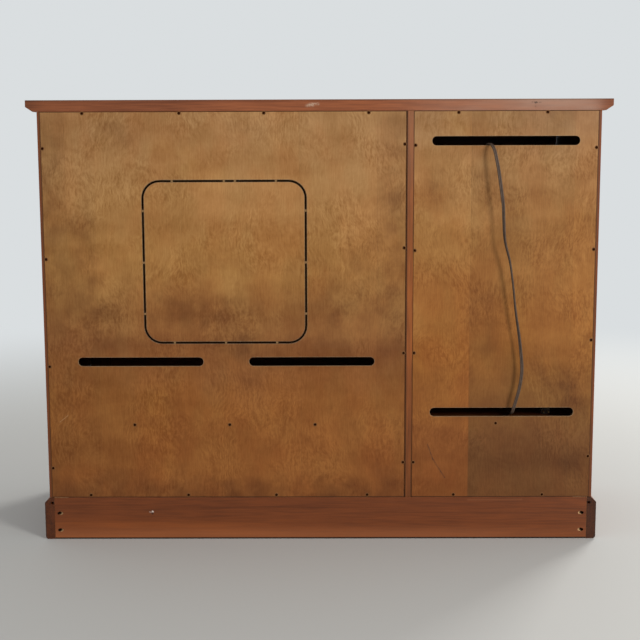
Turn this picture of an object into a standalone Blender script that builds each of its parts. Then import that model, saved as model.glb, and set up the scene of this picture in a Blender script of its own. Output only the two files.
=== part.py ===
"""Console television cabinet: a wide television bay beside a media bay, over two drawers.

Metres, +Z up. The doors face -Y and the screwed-on back faces +Y. The origin is on the floor,
under the middle of the top. Left and right are as seen from the front.
"""

import math

import bmesh
import bpy
from mathutils import Matrix, Vector

# Gaps
FIT = 0.0003
TOOL_REACH = 0.01
WELD = 0.00001

# Angles past which a shape keeps a sharp edge
EASE_ANGLE = math.radians(30)
ROD_CREASE = math.radians(40)
KNOB_CREASE = math.radians(50)

# Top board
TOP_WIDTH = 1.524
TOP_DEPTH = 0.559
TOTAL_HEIGHT = 1.176
TOP_THICKNESS = 0.0297
TOP_UPRIGHT_EDGE = 0.0171
TOP_BEVEL_REACH = 0.019
TOP_OVERHANG = 0.0295

# Case boards
BOARD = 0.019
PARTITION_THICKNESS = 0.038
PARTITION_X = -0.2375
PARTITION_TONGUE = 0.017
SIDE_LIP = 0.0075
HOUSING_DEPTH = 0.006
HOUSING_STOP = 0.015
RAIL_DEPTH = 0.07
DRAWER_OPENING = 0.1722
BOARD_EASE = 0.0008

# Back panels, with their cable slots and the knock-out for a picture tube's neck
BACK_THICKNESS = 0.006
BACK_EDGE_GAP = 0.0006
TV_BACK_GAP = 0.0028
MEDIA_BACK_GAP = 0.0012
SLOT_HEIGHT = 0.024
TV_SLOT_LENGTH = 0.334
TV_SLOT_SPACING = 0.4555
TV_SLOT_RISE = 0.162
MEDIA_SLOT_LENGTH = 0.384
MEDIA_SLOT_RISE = 0.024
MEDIA_SLOT_DROP = 0.077
KNOCKOUT_SIZE = 0.4315
KNOCKOUT_RADIUS = 0.047
KNOCKOUT_RISE = 0.427
KERF = 0.0045
TAB_WIDTH = 0.0056
TAB_SPACING = 0.136
EXTRA_TAB_OFFSET = -0.029
ARC_STEPS = 7

# Plinth
PLINTH_HEIGHT = 0.116
PLINTH_PROUD = 0.0139
PLINTH_BOARD = 0.025
PLINTH_FOOT_EASE = 0.005
POCKET_RADIUS = 0.0048
POCKET_ANGLE = math.radians(37)
POCKET_DEPTH = 0.0135
POCKET_INSET = 0.0156
POCKET_RISE = 0.025
POCKET_SPACING = 0.047
CLEAT_SLOT_WIDTH = 0.0078
CLEAT_SLOT_HEIGHT = 0.007
CLEAT_SLOT_DEPTH = 0.03
CLEAT_SLOT_INSET = 0.0054
CLEAT_SLOT_DROP = 0.0155

# Loose shelves on pegs in the media bay
LOWER_SHELF_RISE = 0.285
UPPER_SHELF_DROP = 0.0275
LOOSE_SHELF_END_GAP = 0.0015
LOOSE_SHELF_FRONT_GAP = 0.022
LOOSE_SHELF_CABLE_GAP = 0.045
PEG_RADIUS = 0.003
PEG_LENGTH = 0.009
PEG_INSET = 0.06
PEG_SIDES = 12

# Framed doors
DOOR_THICKNESS = 0.02
DOOR_GAP = 0.002
MEETING_GAP = 0.003
STILE_WIDTH = 0.064
TOP_RAIL_HEIGHT = 0.064
BOTTOM_RAIL_HEIGHT = 0.078
PANEL_THICKNESS = 0.008
PANEL_SETBACK = 0.007
GROOVE_DEPTH = 0.01
PANEL_PLAY = 0.001
DOOR_KNOB_RISE = 0.41

# Drawers
DRAWER_FRONT_THICKNESS = 0.02
DRAWER_SIDE_THICKNESS = 0.012
DRAWER_SIDE_HEIGHT = 0.132
DRAWER_CLEARANCE = 0.002
DRAWER_BACK_ROOM = 0.02
DRAWER_BOTTOM_THICKNESS = 0.006
DRAWER_BOTTOM_RISE = 0.012
DRAWER_GROOVE = 0.006
DRAWER_KNOB_SPACING = 0.466

# Turned knobs
KNOB_RADIUS = 0.0155
KNOB_PROJECTION = 0.026
KNOB_NECK_RADIUS = 0.0065
KNOB_FOOT_RADIUS = 0.0085
KNOB_STEPS = 20

# Butt hinges whose two leaves lie in one plane
LEAF_THICKNESS = 0.0014
LEAF_DEPTH = 0.018
LEAF_WEB = 0.005
HINGE_HEIGHT = 0.064
TONGUE_HEIGHT = 0.034
BARREL_RADIUS = 0.004
PIN_RADIUS = 0.0018
PIN_PLAY = 0.0005
KNUCKLE_GAP = 0.0006
HINGE_INSET = 0.095
HINGE_SIDES = 16

# Outlet block on the partition
OUTLET_THICKNESS = 0.028
OUTLET_WIDTH = 0.046
OUTLET_HEIGHT = 0.15
OUTLET_EASE = 0.002
OUTLET_BACK_ROOM = 0.035
OUTLET_DROP = 0.078
SOCKET_SIZE = 0.027
SOCKET_PITCH = 0.038
SOCKET_DEPTH = 0.002
RELIEF_LENGTH = 0.022
RELIEF_RADIUS = 0.0085
RELIEF_TIP_RADIUS = 0.0058
RELIEF_DROP = 0.022

# Flat twin lead, drawn as a round tube of its width
CORD_DIAMETER = 0.0086
CORD_STEP = 0.021
CURVE_PARTS = 12
COIL_RADIUS = 0.049
COIL_PITCH = 0.0098
COIL_LAYER = 0.0092
COIL_TURNS = 1
COIL_ACROSS = -0.0832
COIL_INWARD = 0.2445
LOOP_POINTS = 24
PLUG_WIDTH = 0.026
PLUG_LENGTH = 0.032
PLUG_THICKNESS = 0.016
PLUG_EASE = 0.0029
BLADE_THICKNESS = 0.0015
BLADE_LENGTH = 0.0165
BLADE_WIDTH = 0.0064
BLADE_SPACING = 0.0127

# Places worked out from the sizes
BACK_Y = TOP_DEPTH / 2
FRONT_Y = TOP_OVERHANG - TOP_DEPTH / 2
LEDGE_Y = BACK_Y - BACK_THICKNESS - FIT
CASE_HALF = TOP_WIDTH / 2 - TOP_OVERHANG
INNER_HALF = CASE_HALF - BOARD
PARTITION_LOW = PARTITION_X - PARTITION_THICKNESS / 2
PARTITION_HIGH = PARTITION_X + PARTITION_THICKNESS / 2
CASE_LOW = PLINTH_HEIGHT + FIT
CASE_HIGH = TOTAL_HEIGHT - TOP_THICKNESS - FIT
DRAWER_LOW = CASE_LOW + BOARD
DRAWER_HIGH = DRAWER_LOW + DRAWER_OPENING
SHELF_HIGH = DRAWER_HIGH + BOARD
RAIL_LOW = CASE_HIGH - BOARD
HINGE_GAP = LEAF_THICKNESS + 2 * FIT
HINGE_Y = FRONT_Y - BARREL_RADIUS - FIT
BACK_EDGE = CASE_HALF - SIDE_LIP - BACK_EDGE_GAP
TV_BACK_LOW = PARTITION_X + PARTITION_TONGUE / 2 + TV_BACK_GAP
MEDIA_BACK_HIGH = PARTITION_X - PARTITION_TONGUE / 2 - MEDIA_BACK_GAP
TV_BACK_X = (TV_BACK_LOW + BACK_EDGE) / 2
MEDIA_BACK_X = (MEDIA_BACK_HIGH - BACK_EDGE) / 2
UPPER_SLOT_Z = CASE_HIGH - MEDIA_SLOT_DROP
LOWER_SLOT_Z = SHELF_HIGH + MEDIA_SLOT_RISE
OUTLET_HIGH = CASE_HIGH - OUTLET_DROP
OUTLET_LOW = OUTLET_HIGH - OUTLET_HEIGHT
LOOSE_SHELF_LOWS = {
    "upper": OUTLET_LOW - UPPER_SHELF_DROP - BOARD,
    "lower": SHELF_HIGH + LOWER_SHELF_RISE,
}
RELIEF_Y = LEDGE_Y - OUTLET_BACK_ROOM - OUTLET_WIDTH / 2
RELIEF_Z = OUTLET_HIGH - RELIEF_DROP
CORD_RADIUS = CORD_DIAMETER / 2
CORD_REST = SHELF_HIGH + CORD_RADIUS + FIT
CORD_START_X = PARTITION_LOW - OUTLET_THICKNESS - RELIEF_LENGTH - 2 * FIT
COIL_X = MEDIA_BACK_X + COIL_ACROSS
COIL_Y = BACK_Y - COIL_INWARD

# The lead's way out of the upper slot, down the back and in at the lower one: across from the slots'
# middle, out from the back's face, and the share of the way up from the lower slot to the upper
HANGING_LEAD = (
    (0.1308, -0.061, 0.9659),
    (0.0988, -0.053, 0.9617),
    (0.0713, -0.0385, 0.9617),
    (0.0533, -0.0245, 0.9752),
    (0.0448, -0.0135, 0.9905),
    (0.0398, 0.0015, 0.995),
    (0.0343, 0.0165, 0.985),
    (0.0293, 0.0265, 0.9638),
    (0.0253, 0.03, 0.9346),
    (0.0208, 0.032, 0.8928),
    (0.0133, 0.0335, 0.8219),
    (0.0073, 0.033, 0.769),
    (0.0053, 0.032, 0.7147),
    (-0.0007, 0.0305, 0.6409),
    (-0.0157, 0.028, 0.5616),
    (-0.0252, 0.0255, 0.4767),
    (-0.0332, 0.023, 0.3848),
    (-0.0402, 0.021, 0.2916),
    (-0.0457, 0.02, 0.2276),
    (-0.0507, 0.02, 0.1747),
    (-0.0497, 0.0205, 0.1329),
    (-0.0457, 0.021, 0.0898),
    (-0.0387, 0.0205, 0.0522),
    (-0.0337, 0.0165, 0.0223),
    (-0.0322, 0.0035, 0.0028),
)

# Its way on the media shelf to the coil, and from the coil to the plug: across from the coil's edge, back
# from the coil's middle, and up from where the lead rests
SHELF_LEAD = (
    (0.002, 0.231, 0.0151),
    (0.001, 0.208, 0.0074),
    (0.0005, 0.183, 0.0021),
    (0.0, 0.153, 0.0),
    (0.0, 0.115, 0.0),
    (0.0, 0.07, 0.0),
    (0.0, 0.037, 0.0),
)
TAIL_LEAD = (
    (-0.0002, 0.028, 0.0085),
    (-0.0006, 0.06, 0.0055),
    (-0.0011, 0.09, 0.0041),
    (-0.0011, 0.115, 0.004),
    (-0.0011, 0.128, 0.004),
)


def clear_scene():
    """Empty the scene of whatever it held."""
    for obj in list(bpy.data.objects):
        bpy.data.objects.remove(obj, do_unlink=True)


def new_collection(name):
    """Return a new collection linked to the scene."""
    collection = bpy.data.collections.new(name)
    bpy.context.scene.collection.children.link(collection)
    return collection


def finish(name, colour, roughness, metallic=0.0):
    """Return a Principled material."""
    material = bpy.data.materials.new(name)
    material.use_nodes = True
    shader = material.node_tree.nodes["Principled BSDF"]
    shader.inputs["Base Color"].default_value = (*colour, 1.0)
    shader.inputs["Roughness"].default_value = roughness
    shader.inputs["Metallic"].default_value = metallic
    return material


clear_scene()
PARTS = new_collection("console_television_cabinet")
TOOLS = new_collection("cutting_tools")
CHERRY = finish("stained_cherry", (0.2, 0.065, 0.025), 0.4)
EDGE_CHERRY = finish("cherry_top", (0.23, 0.08, 0.035), 0.35)
PLYWOOD = finish("birch_plywood", (0.3, 0.145, 0.05), 0.55)
DRAWER_WOOD = finish("pale_maple", (0.55, 0.4, 0.24), 0.55)
KNOB_WOOD = finish("turned_cherry", (0.16, 0.05, 0.02), 0.35)
BRASS = finish("hinge_brass", (0.6, 0.42, 0.17), 0.32, 1.0)
BROWN_PLASTIC = finish("brown_plastic", (0.06, 0.035, 0.022), 0.45)
LEAD_VINYL = finish("lead_vinyl", (0.16, 0.135, 0.115), 0.5)


def add_object(name, mesh, place, material, pivot=None):
    """Link a part to the cabinet, on its pivot where it moves."""
    obj = bpy.data.objects.new(name, mesh)
    mesh.materials.append(material)
    obj.location = place
    if pivot is not None:
        obj.parent = pivot
        obj.location = Vector(place) - pivot.location
    PARTS.objects.link(obj)
    return obj


def add_tool(name, mesh, place=(0.0, 0.0, 0.0)):
    """Link a hidden shape that cuts or joins a part."""
    obj = bpy.data.objects.new(name, mesh)
    obj.location = place
    obj.hide_render = True
    obj.display_type = "WIRE"
    TOOLS.objects.link(obj)
    return obj


def add_pivot(name, place):
    """Return an empty on a joint's axis."""
    pivot = bpy.data.objects.new(name, None)
    pivot.location = place
    PARTS.objects.link(pivot)
    return pivot


def box_mesh(name, size):
    """Return a box about the origin."""
    mesh = bpy.data.meshes.new(name)
    shape = bmesh.new()
    bmesh.ops.create_cube(shape, size=1.0, matrix=Matrix.Diagonal((*size, 1.0)))
    shape.to_mesh(mesh)
    shape.free()
    return mesh


def rod_mesh(name, radius, tip_radius, length, sides):
    """Return a cylinder or a cone along Z, about the origin."""
    mesh = bpy.data.meshes.new(name)
    shape = bmesh.new()
    bmesh.ops.create_cone(
        shape, cap_ends=True, segments=sides, radius1=radius, radius2=tip_radius, depth=length
    )
    shape.to_mesh(mesh)
    shape.free()
    mesh.shade_smooth()
    mesh.set_sharp_from_angle(angle=ROD_CREASE)
    return mesh


def middle_and_size(low, high):
    """Return the centre and the size of the box between two corners."""
    low = Vector(low)
    high = Vector(high)
    return (low + high) / 2, high - low


def ease_edges(obj, width):
    """Break an object's sharp edges."""
    bevel = obj.modifiers.new("eased_edges", "BEVEL")
    bevel.width = width
    bevel.segments = 1
    bevel.limit_method = "ANGLE"
    bevel.angle_limit = EASE_ANGLE


def board(name, low, high, material, pivot=None, ease=BOARD_EASE):
    """Add a sawn board between two corners."""
    place, size = middle_and_size(low, high)
    obj = add_object(name, box_mesh(name, size), place, material, pivot)
    if ease:
        ease_edges(obj, ease)
    return obj


def box_tool(name, low, high):
    """Add a hidden box between two corners."""
    place, size = middle_and_size(low, high)
    return add_tool(name, box_mesh(name, size), place)


def combine(obj, tool, operation):
    """Cut an object with a tool, or join the tool to it."""
    boolean = obj.modifiers.new(tool.name, "BOOLEAN")
    boolean.operation = operation
    boolean.object = tool
    boolean.solver = "EXACT"


def cut(obj, *tools):
    """Cut an object with each tool."""
    for tool in tools:
        combine(obj, tool, "DIFFERENCE")


def join(obj, *tools):
    """Join each tool to an object."""
    for tool in tools:
        combine(obj, tool, "UNION")


def evaluated_mesh(obj, weld=0.0):
    """Return an object's finished shape as a plain mesh, and remove the object."""
    bpy.context.view_layer.update()
    graph = bpy.context.evaluated_depsgraph_get()
    mesh = bpy.data.meshes.new_from_object(obj.evaluated_get(graph))
    bpy.data.objects.remove(obj, do_unlink=True)
    if weld:
        shape = bmesh.new()
        shape.from_mesh(mesh)
        bmesh.ops.remove_doubles(shape, verts=shape.verts, dist=weld)
        shape.to_mesh(mesh)
        shape.free()
    return mesh


def extruded_mesh(name, loops, length):
    """Return flat outlines extruded along Y about the origin, drawn in X and Z."""
    curve = bpy.data.curves.new(name, "CURVE")
    curve.dimensions = "2D"
    curve.fill_mode = "BOTH"
    curve.extrude = length / 2
    for loop in loops:
        spline = curve.splines.new("POLY")
        spline.points.add(len(loop) - 1)
        for point, (across, up) in zip(spline.points, loop):
            point.co = (across, up, 0.0, 1.0)
        spline.use_cyclic_u = True
    obj = bpy.data.objects.new(name, curve)
    TOOLS.objects.link(obj)
    mesh = evaluated_mesh(obj, weld=WELD)
    mesh.transform(Matrix.Rotation(math.pi / 2, 4, "X"))
    return mesh


def rounded_loop(width, height, radius):
    """Return the outline of a rectangle with round corners."""
    loop = []
    corners = ((1, 1, 0), (-1, 1, 1), (-1, -1, 2), (1, -1, 3))
    for side, end, quarter in corners:
        for step in range(ARC_STEPS + 1):
            angle = (quarter + step / ARC_STEPS) * math.pi / 2
            across = side * (width / 2 - radius) + radius * math.cos(angle)
            up = end * (height / 2 - radius) + radius * math.sin(angle)
            loop.append((across, up))
    return loop


def build_top():
    """Add the top, whose underside is bevelled away at the front and both ends."""
    size = (TOP_WIDTH, TOP_DEPTH, TOP_UPRIGHT_EDGE)
    mesh = bpy.data.meshes.new("top_panel")
    shape = bmesh.new()
    bmesh.ops.create_cube(shape, size=1.0, matrix=Matrix.Diagonal((*size, 1.0)))
    underside = min(shape.faces, key=lambda face: face.calc_center_median().z)
    grown = bmesh.ops.extrude_face_region(shape, geom=[underside])
    bmesh.ops.delete(shape, geom=[underside], context="FACES_ONLY")
    for vert in grown["geom"]:
        if not isinstance(vert, bmesh.types.BMVert):
            continue
        vert.co.z -= TOP_THICKNESS - TOP_UPRIGHT_EDGE
        vert.co.x -= math.copysign(TOP_BEVEL_REACH, vert.co.x)
        if vert.co.y < 0:
            vert.co.y += TOP_BEVEL_REACH
    bmesh.ops.recalc_face_normals(shape, faces=shape.faces)
    shape.to_mesh(mesh)
    shape.free()
    top = add_object("top_panel", mesh, (0.0, 0.0, TOTAL_HEIGHT - TOP_UPRIGHT_EDGE / 2), EDGE_CHERRY)
    ease_edges(top, BOARD_EASE)


def housing_tool(name, low_x, high_x):
    """Return the stopped groove that takes a fixed shelf's ends."""
    low = (low_x - HOUSING_DEPTH, FRONT_Y + HOUSING_STOP, DRAWER_HIGH - FIT)
    high = (high_x + HOUSING_DEPTH, BACK_Y - BACK_THICKNESS / 2, SHELF_HIGH + FIT)
    return box_tool(name, low, high)


def bottom_tool():
    """Return the space that the bottom board takes from the sides and the partition."""
    reach = INNER_HALF + HOUSING_DEPTH
    low = (-reach, FRONT_Y - TOOL_REACH, CASE_LOW - TOOL_REACH)
    return box_tool("bottom_housing", low, (reach, LEDGE_Y + FIT, DRAWER_LOW + FIT))


def rabbet_tool(name, low_x, high_x):
    """Return the step that takes a back panel's edges."""
    low = (low_x, LEDGE_Y, CASE_LOW - TOOL_REACH)
    return box_tool(name, low, (high_x, BACK_Y + TOOL_REACH, CASE_HIGH + TOOL_REACH))


def loose_shelf_span():
    """Return the loose shelves' front and back edges."""
    return FRONT_Y + DOOR_THICKNESS + LOOSE_SHELF_FRONT_GAP, LEDGE_Y - LOOSE_SHELF_CABLE_GAP


def peg_tools(name, wall_x, outward):
    """Return the pegs that stand out of a wall under the loose shelves."""
    pegs = []
    front, back = loose_shelf_span()
    middle_x = wall_x + outward * (PEG_LENGTH - TOOL_REACH) / 2
    for level, shelf_low in LOOSE_SHELF_LOWS.items():
        height = shelf_low - FIT - PEG_RADIUS
        for place_y in (front + PEG_INSET, back - PEG_INSET):
            mesh = rod_mesh(name, PEG_RADIUS, PEG_RADIUS, PEG_LENGTH + TOOL_REACH, PEG_SIDES)
            mesh.transform(Matrix.Rotation(math.pi / 2, 4, "Y"))
            pegs.append(add_tool(f"{name}_{level}", mesh, (middle_x, place_y, height)))
    return pegs


def build_fixed_shelf(name, low_x, high_x):
    """Add a shelf over a drawer, with its ends let into the walls."""
    low = (low_x + FIT, FRONT_Y, DRAWER_HIGH)
    shelf = board(name, low, (high_x - FIT, LEDGE_Y - FIT, SHELF_HIGH), CHERRY)
    reach = HOUSING_DEPTH - FIT
    ends_low = (low_x - reach, FRONT_Y + HOUSING_STOP + FIT, DRAWER_HIGH)
    ends_high = (high_x + reach, LEDGE_Y - FIT, SHELF_HIGH)
    join(shelf, box_tool(f"{name}_ends", ends_low, ends_high))


def build_top_rail(name, low_y, high_y):
    """Add a flat rail that ties the case together under the top."""
    low = (FIT - INNER_HALF, low_y, RAIL_LOW)
    board(name, low, (INNER_HALF - FIT, high_y, CASE_HIGH), CHERRY)


def rail_notch(name, low_y, high_y):
    """Return the notch that lets a top rail pass the partition."""
    low = (PARTITION_LOW - TOOL_REACH, low_y, RAIL_LOW - FIT)
    return box_tool(name, low, (PARTITION_HIGH + TOOL_REACH, high_y, CASE_HIGH + TOOL_REACH))


def build_case():
    """Add the sides, the partition, the fixed shelves, the bottom and the top rails."""
    media_housing = housing_tool("media_housing", -INNER_HALF, PARTITION_LOW)
    tv_housing = housing_tool("tv_housing", PARTITION_HIGH, INNER_HALF)
    bottom_housing = bottom_tool()
    lip_x = CASE_HALF - SIDE_LIP
    tongue = PARTITION_TONGUE / 2
    media_rabbet = rabbet_tool("media_rabbet", -lip_x, PARTITION_X - tongue)
    tv_rabbet = rabbet_tool("tv_rabbet", PARTITION_X + tongue, lip_x)

    left = board("side_left", (-CASE_HALF, FRONT_Y, CASE_LOW), (-INNER_HALF, BACK_Y, CASE_HIGH), CHERRY)
    cut(left, media_rabbet, media_housing, bottom_housing)
    join(left, *peg_tools("side_peg", -INNER_HALF, 1))

    right = board("side_right", (INNER_HALF, FRONT_Y, CASE_LOW), (CASE_HALF, BACK_Y, CASE_HIGH), CHERRY)
    cut(right, tv_rabbet, tv_housing, bottom_housing)

    low = (PARTITION_LOW, FRONT_Y, CASE_LOW)
    partition = board("partition", low, (PARTITION_HIGH, BACK_Y, CASE_HIGH), CHERRY)
    front_notch = rail_notch("front_notch", FRONT_Y - TOOL_REACH, FRONT_Y + RAIL_DEPTH + FIT)
    rear_notch = rail_notch("rear_notch", LEDGE_Y - RAIL_DEPTH - 2 * FIT, LEDGE_Y + FIT)
    cut(partition, media_rabbet, tv_rabbet, bottom_housing, front_notch, rear_notch)
    cut(partition, media_housing, tv_housing)
    join(partition, *peg_tools("partition_peg", PARTITION_LOW, -1))

    reach = INNER_HALF + HOUSING_DEPTH - FIT
    board("bottom_panel", (-reach, FRONT_Y, CASE_LOW), (reach, LEDGE_Y - FIT, DRAWER_LOW), CHERRY)
    build_fixed_shelf("media_shelf", -INNER_HALF, PARTITION_LOW)
    build_fixed_shelf("tv_shelf", PARTITION_HIGH, INNER_HALF)
    build_top_rail("top_rail_front", FRONT_Y, FRONT_Y + RAIL_DEPTH)
    build_top_rail("top_rail_rear", LEDGE_Y - FIT - RAIL_DEPTH, LEDGE_Y - FIT)


def build_loose_shelves():
    """Add the two shelves that rest on pegs in the media bay."""
    front, back = loose_shelf_span()
    for level, shelf_low in LOOSE_SHELF_LOWS.items():
        low = (LOOSE_SHELF_END_GAP - INNER_HALF, front, shelf_low)
        high = (PARTITION_LOW - LOOSE_SHELF_END_GAP, back, shelf_low + BOARD)
        board(f"loose_shelf_{level}", low, high, CHERRY)


def slot_tool(name, place_x, place_z, length):
    """Return a cable slot with round ends, as routed through a back panel."""
    loop = rounded_loop(length, SLOT_HEIGHT, SLOT_HEIGHT / 2 - FIT)
    mesh = extruded_mesh(name, [loop], BACK_THICKNESS + 2 * TOOL_REACH)
    return add_tool(name, mesh, (place_x, BACK_Y - BACK_THICKNESS / 2, place_z))


def knockout_tabs(half):
    """Return the places of the tabs that hold the knock-out in its panel."""
    tabs = []
    for offset in (-TAB_SPACING, 0.0, TAB_SPACING):
        for end in (-half, half):
            tabs.append((offset, end))
            tabs.append((end, offset))
    tabs.append((EXTRA_TAB_OFFSET, half))
    return tabs


def kerf_tool(place_x, place_z):
    """Return the broken saw line round the knock-out: a ring less its tabs."""
    inner = KNOCKOUT_SIZE - 2 * KERF
    loops = [
        rounded_loop(KNOCKOUT_SIZE, KNOCKOUT_SIZE, KNOCKOUT_RADIUS),
        rounded_loop(inner, inner, KNOCKOUT_RADIUS - KERF),
    ]
    mesh = extruded_mesh("knockout_kerf", loops, BACK_THICKNESS + 2 * TOOL_REACH)
    middle_y = BACK_Y - BACK_THICKNESS / 2
    kerf = add_tool("knockout_kerf", mesh, (place_x, middle_y, place_z))
    half = (KNOCKOUT_SIZE - KERF) / 2
    depth = BACK_THICKNESS + 4 * TOOL_REACH
    for offset, rise in knockout_tabs(half):
        upright = abs(offset) == half
        width = 2 * KERF if upright else TAB_WIDTH
        height = TAB_WIDTH if upright else 2 * KERF
        tab = add_tool("knockout_tab", box_mesh("knockout_tab", (width, depth, height)))
        tab.location = (place_x + offset, middle_y, place_z + rise)
        cut(kerf, tab)
    return kerf


def build_back():
    """Add the two plywood backs that are screwed into the case's rear edges."""
    low_z = CASE_LOW + BACK_EDGE_GAP
    high_z = CASE_HIGH - BACK_EDGE_GAP
    front = BACK_Y - BACK_THICKNESS

    low = (TV_BACK_LOW, front, low_z)
    tv_back = board("back_tv", low, (BACK_EDGE, BACK_Y, high_z), PLYWOOD, ease=0.0)
    for side, offset in (("left", -0.5), ("right", 0.5)):
        place_x = TV_BACK_X + offset * TV_SLOT_SPACING
        cut(tv_back, slot_tool(f"tv_slot_{side}", place_x, SHELF_HIGH + TV_SLOT_RISE, TV_SLOT_LENGTH))
    cut(tv_back, kerf_tool(TV_BACK_X, SHELF_HIGH + KNOCKOUT_RISE))

    low = (-BACK_EDGE, front, low_z)
    media_back = board("back_media", low, (MEDIA_BACK_HIGH, BACK_Y, high_z), PLYWOOD, ease=0.0)
    for name, height in (("upper", UPPER_SLOT_Z), ("lower", LOWER_SLOT_Z)):
        cut(media_back, slot_tool(f"media_slot_{name}", MEDIA_BACK_X, height, MEDIA_SLOT_LENGTH))


def plinth_loop(side):
    """Return a plinth board's section: bevelled above, eased at the foot, outside towards side."""
    outer = PLINTH_BOARD
    loop = [
        (0.0, 0.0),
        (outer - PLINTH_FOOT_EASE, 0.0),
        (outer, PLINTH_FOOT_EASE),
        (outer, PLINTH_HEIGHT - PLINTH_PROUD),
        (outer - PLINTH_PROUD, PLINTH_HEIGHT),
        (0.0, PLINTH_HEIGHT),
    ]
    return [(side * across, up) for across, up in loop]


def mitre_tool(name, side, facing):
    """Return a block on one side of a front corner's mitre."""
    reach = 8 * PLINTH_BOARD
    normal = Vector((side, 1.0, 0.0)).normalized()
    corner = Vector((side * (CASE_HALF + PLINTH_PROUD), FRONT_Y - PLINTH_PROUD, PLINTH_HEIGHT / 2))
    tool = add_tool(name, box_mesh(name, (reach, reach, 2 * PLINTH_HEIGHT)))
    tool.location = corner + normal * facing * (reach - FIT) / 2
    tool.rotation_euler = (0.0, 0.0, math.pi / 4)
    return tool


def pocket_tool(side, end_x, height):
    """Return a slanting screw pocket near an end of the rear plinth board."""
    slant = Vector((side * math.cos(POCKET_ANGLE), -math.sin(POCKET_ANGLE), 0.0))
    length = POCKET_DEPTH + TOOL_REACH
    mesh = rod_mesh("screw_pocket", POCKET_RADIUS, POCKET_RADIUS, length, HINGE_SIDES)
    mesh.transform(slant.to_track_quat("Z", "Y").to_matrix().to_4x4())
    mouth = Vector((side * (end_x - POCKET_INSET), BACK_Y, height))
    return add_tool("screw_pocket", mesh, mouth + slant * (POCKET_DEPTH - TOOL_REACH) / 2)


def cleat_slot_tool(side, inner_x):
    """Return the blind slot in a plinth side's rear end."""
    length = CLEAT_SLOT_DEPTH + TOOL_REACH
    mesh = box_mesh("cleat_slot", (CLEAT_SLOT_WIDTH, length, CLEAT_SLOT_HEIGHT))
    place_y = BACK_Y - (CLEAT_SLOT_DEPTH - TOOL_REACH) / 2
    place = (side * (inner_x + CLEAT_SLOT_INSET), place_y, PLINTH_HEIGHT - CLEAT_SLOT_DROP)
    return add_tool("cleat_slot", mesh, place)


def build_plinth():
    """Add the plinth: a moulded front and sides, mitred, and a plain board set between them behind."""
    front_y = FRONT_Y - PLINTH_PROUD
    length = BACK_Y - front_y
    inner_x = CASE_HALF + PLINTH_PROUD - PLINTH_BOARD
    for name, side in (("left", -1), ("right", 1)):
        mesh = extruded_mesh(f"plinth_{name}", [plinth_loop(side)], length)
        place = (side * inner_x, (front_y + BACK_Y) / 2, 0.0)
        cheek = add_object(f"plinth_{name}", mesh, place, CHERRY)
        cut(cheek, mitre_tool(f"mitre_{name}", side, -1), cleat_slot_tool(side, inner_x))

    width = 2 * (CASE_HALF + PLINTH_PROUD)
    mesh = extruded_mesh("plinth_front", [plinth_loop(1)], width)
    mesh.transform(Matrix.Rotation(-math.pi / 2, 4, "Z"))
    front = add_object("plinth_front", mesh, (0.0, front_y + PLINTH_BOARD, 0.0), CHERRY)
    cut(front, mitre_tool("mitre_front_left", -1, 1), mitre_tool("mitre_front_right", 1, 1))

    end_x = inner_x - FIT
    rear = board("plinth_rear", (-end_x, BACK_Y - BOARD, 0.0), (end_x, BACK_Y, PLINTH_HEIGHT), CHERRY)
    for side in (-1, 1):
        cut(rear, pocket_tool(side, end_x, POCKET_RISE))
        cut(rear, pocket_tool(side, end_x, POCKET_RISE + POCKET_SPACING))


def knob_mesh():
    """Return a turned knob along Z, its foot at the origin."""
    profile = [
        (0.0, KNOB_PROJECTION),
        (0.45 * KNOB_RADIUS, 0.975 * KNOB_PROJECTION),
        (0.8 * KNOB_RADIUS, 0.88 * KNOB_PROJECTION),
        (KNOB_RADIUS, 0.7 * KNOB_PROJECTION),
        (0.95 * KNOB_RADIUS, 0.58 * KNOB_PROJECTION),
        (0.65 * KNOB_RADIUS, 0.46 * KNOB_PROJECTION),
        (KNOB_NECK_RADIUS, 0.3 * KNOB_PROJECTION),
        (KNOB_NECK_RADIUS, 0.18 * KNOB_PROJECTION),
        (KNOB_FOOT_RADIUS, 0.06 * KNOB_PROJECTION),
        (KNOB_FOOT_RADIUS, 0.0),
        (0.0, 0.0),
    ]
    mesh = bpy.data.meshes.new("knob")
    edges = [(index, index + 1) for index in range(len(profile) - 1)]
    mesh.from_pydata([(radius, 0.0, height) for radius, height in profile], edges, [])
    obj = add_tool("knob_profile", mesh)
    screw = obj.modifiers.new("turned", "SCREW")
    screw.steps = KNOB_STEPS
    screw.render_steps = KNOB_STEPS
    screw.use_merge_vertices = True
    screw.merge_threshold = WELD
    turned = evaluated_mesh(obj)
    turned.shade_smooth()
    turned.set_sharp_from_angle(angle=KNOB_CREASE)
    turned.transform(Matrix.Rotation(math.pi / 2, 4, "X"))
    return turned


def add_knob(name, place_x, place_z, pivot):
    """Add a knob on a door's or a drawer's face."""
    add_object(name, KNOB.copy(), (place_x, FRONT_Y - FIT, place_z), KNOB_WOOD, pivot)


def hinge_plate(name, depth, height):
    """Return a hinge leaf's flat plate, from the pin's axis to a depth behind the case's front."""
    return box_mesh(name, (LEAF_THICKNESS, depth, height)), (0.0, depth / 2, 0.0)


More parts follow.
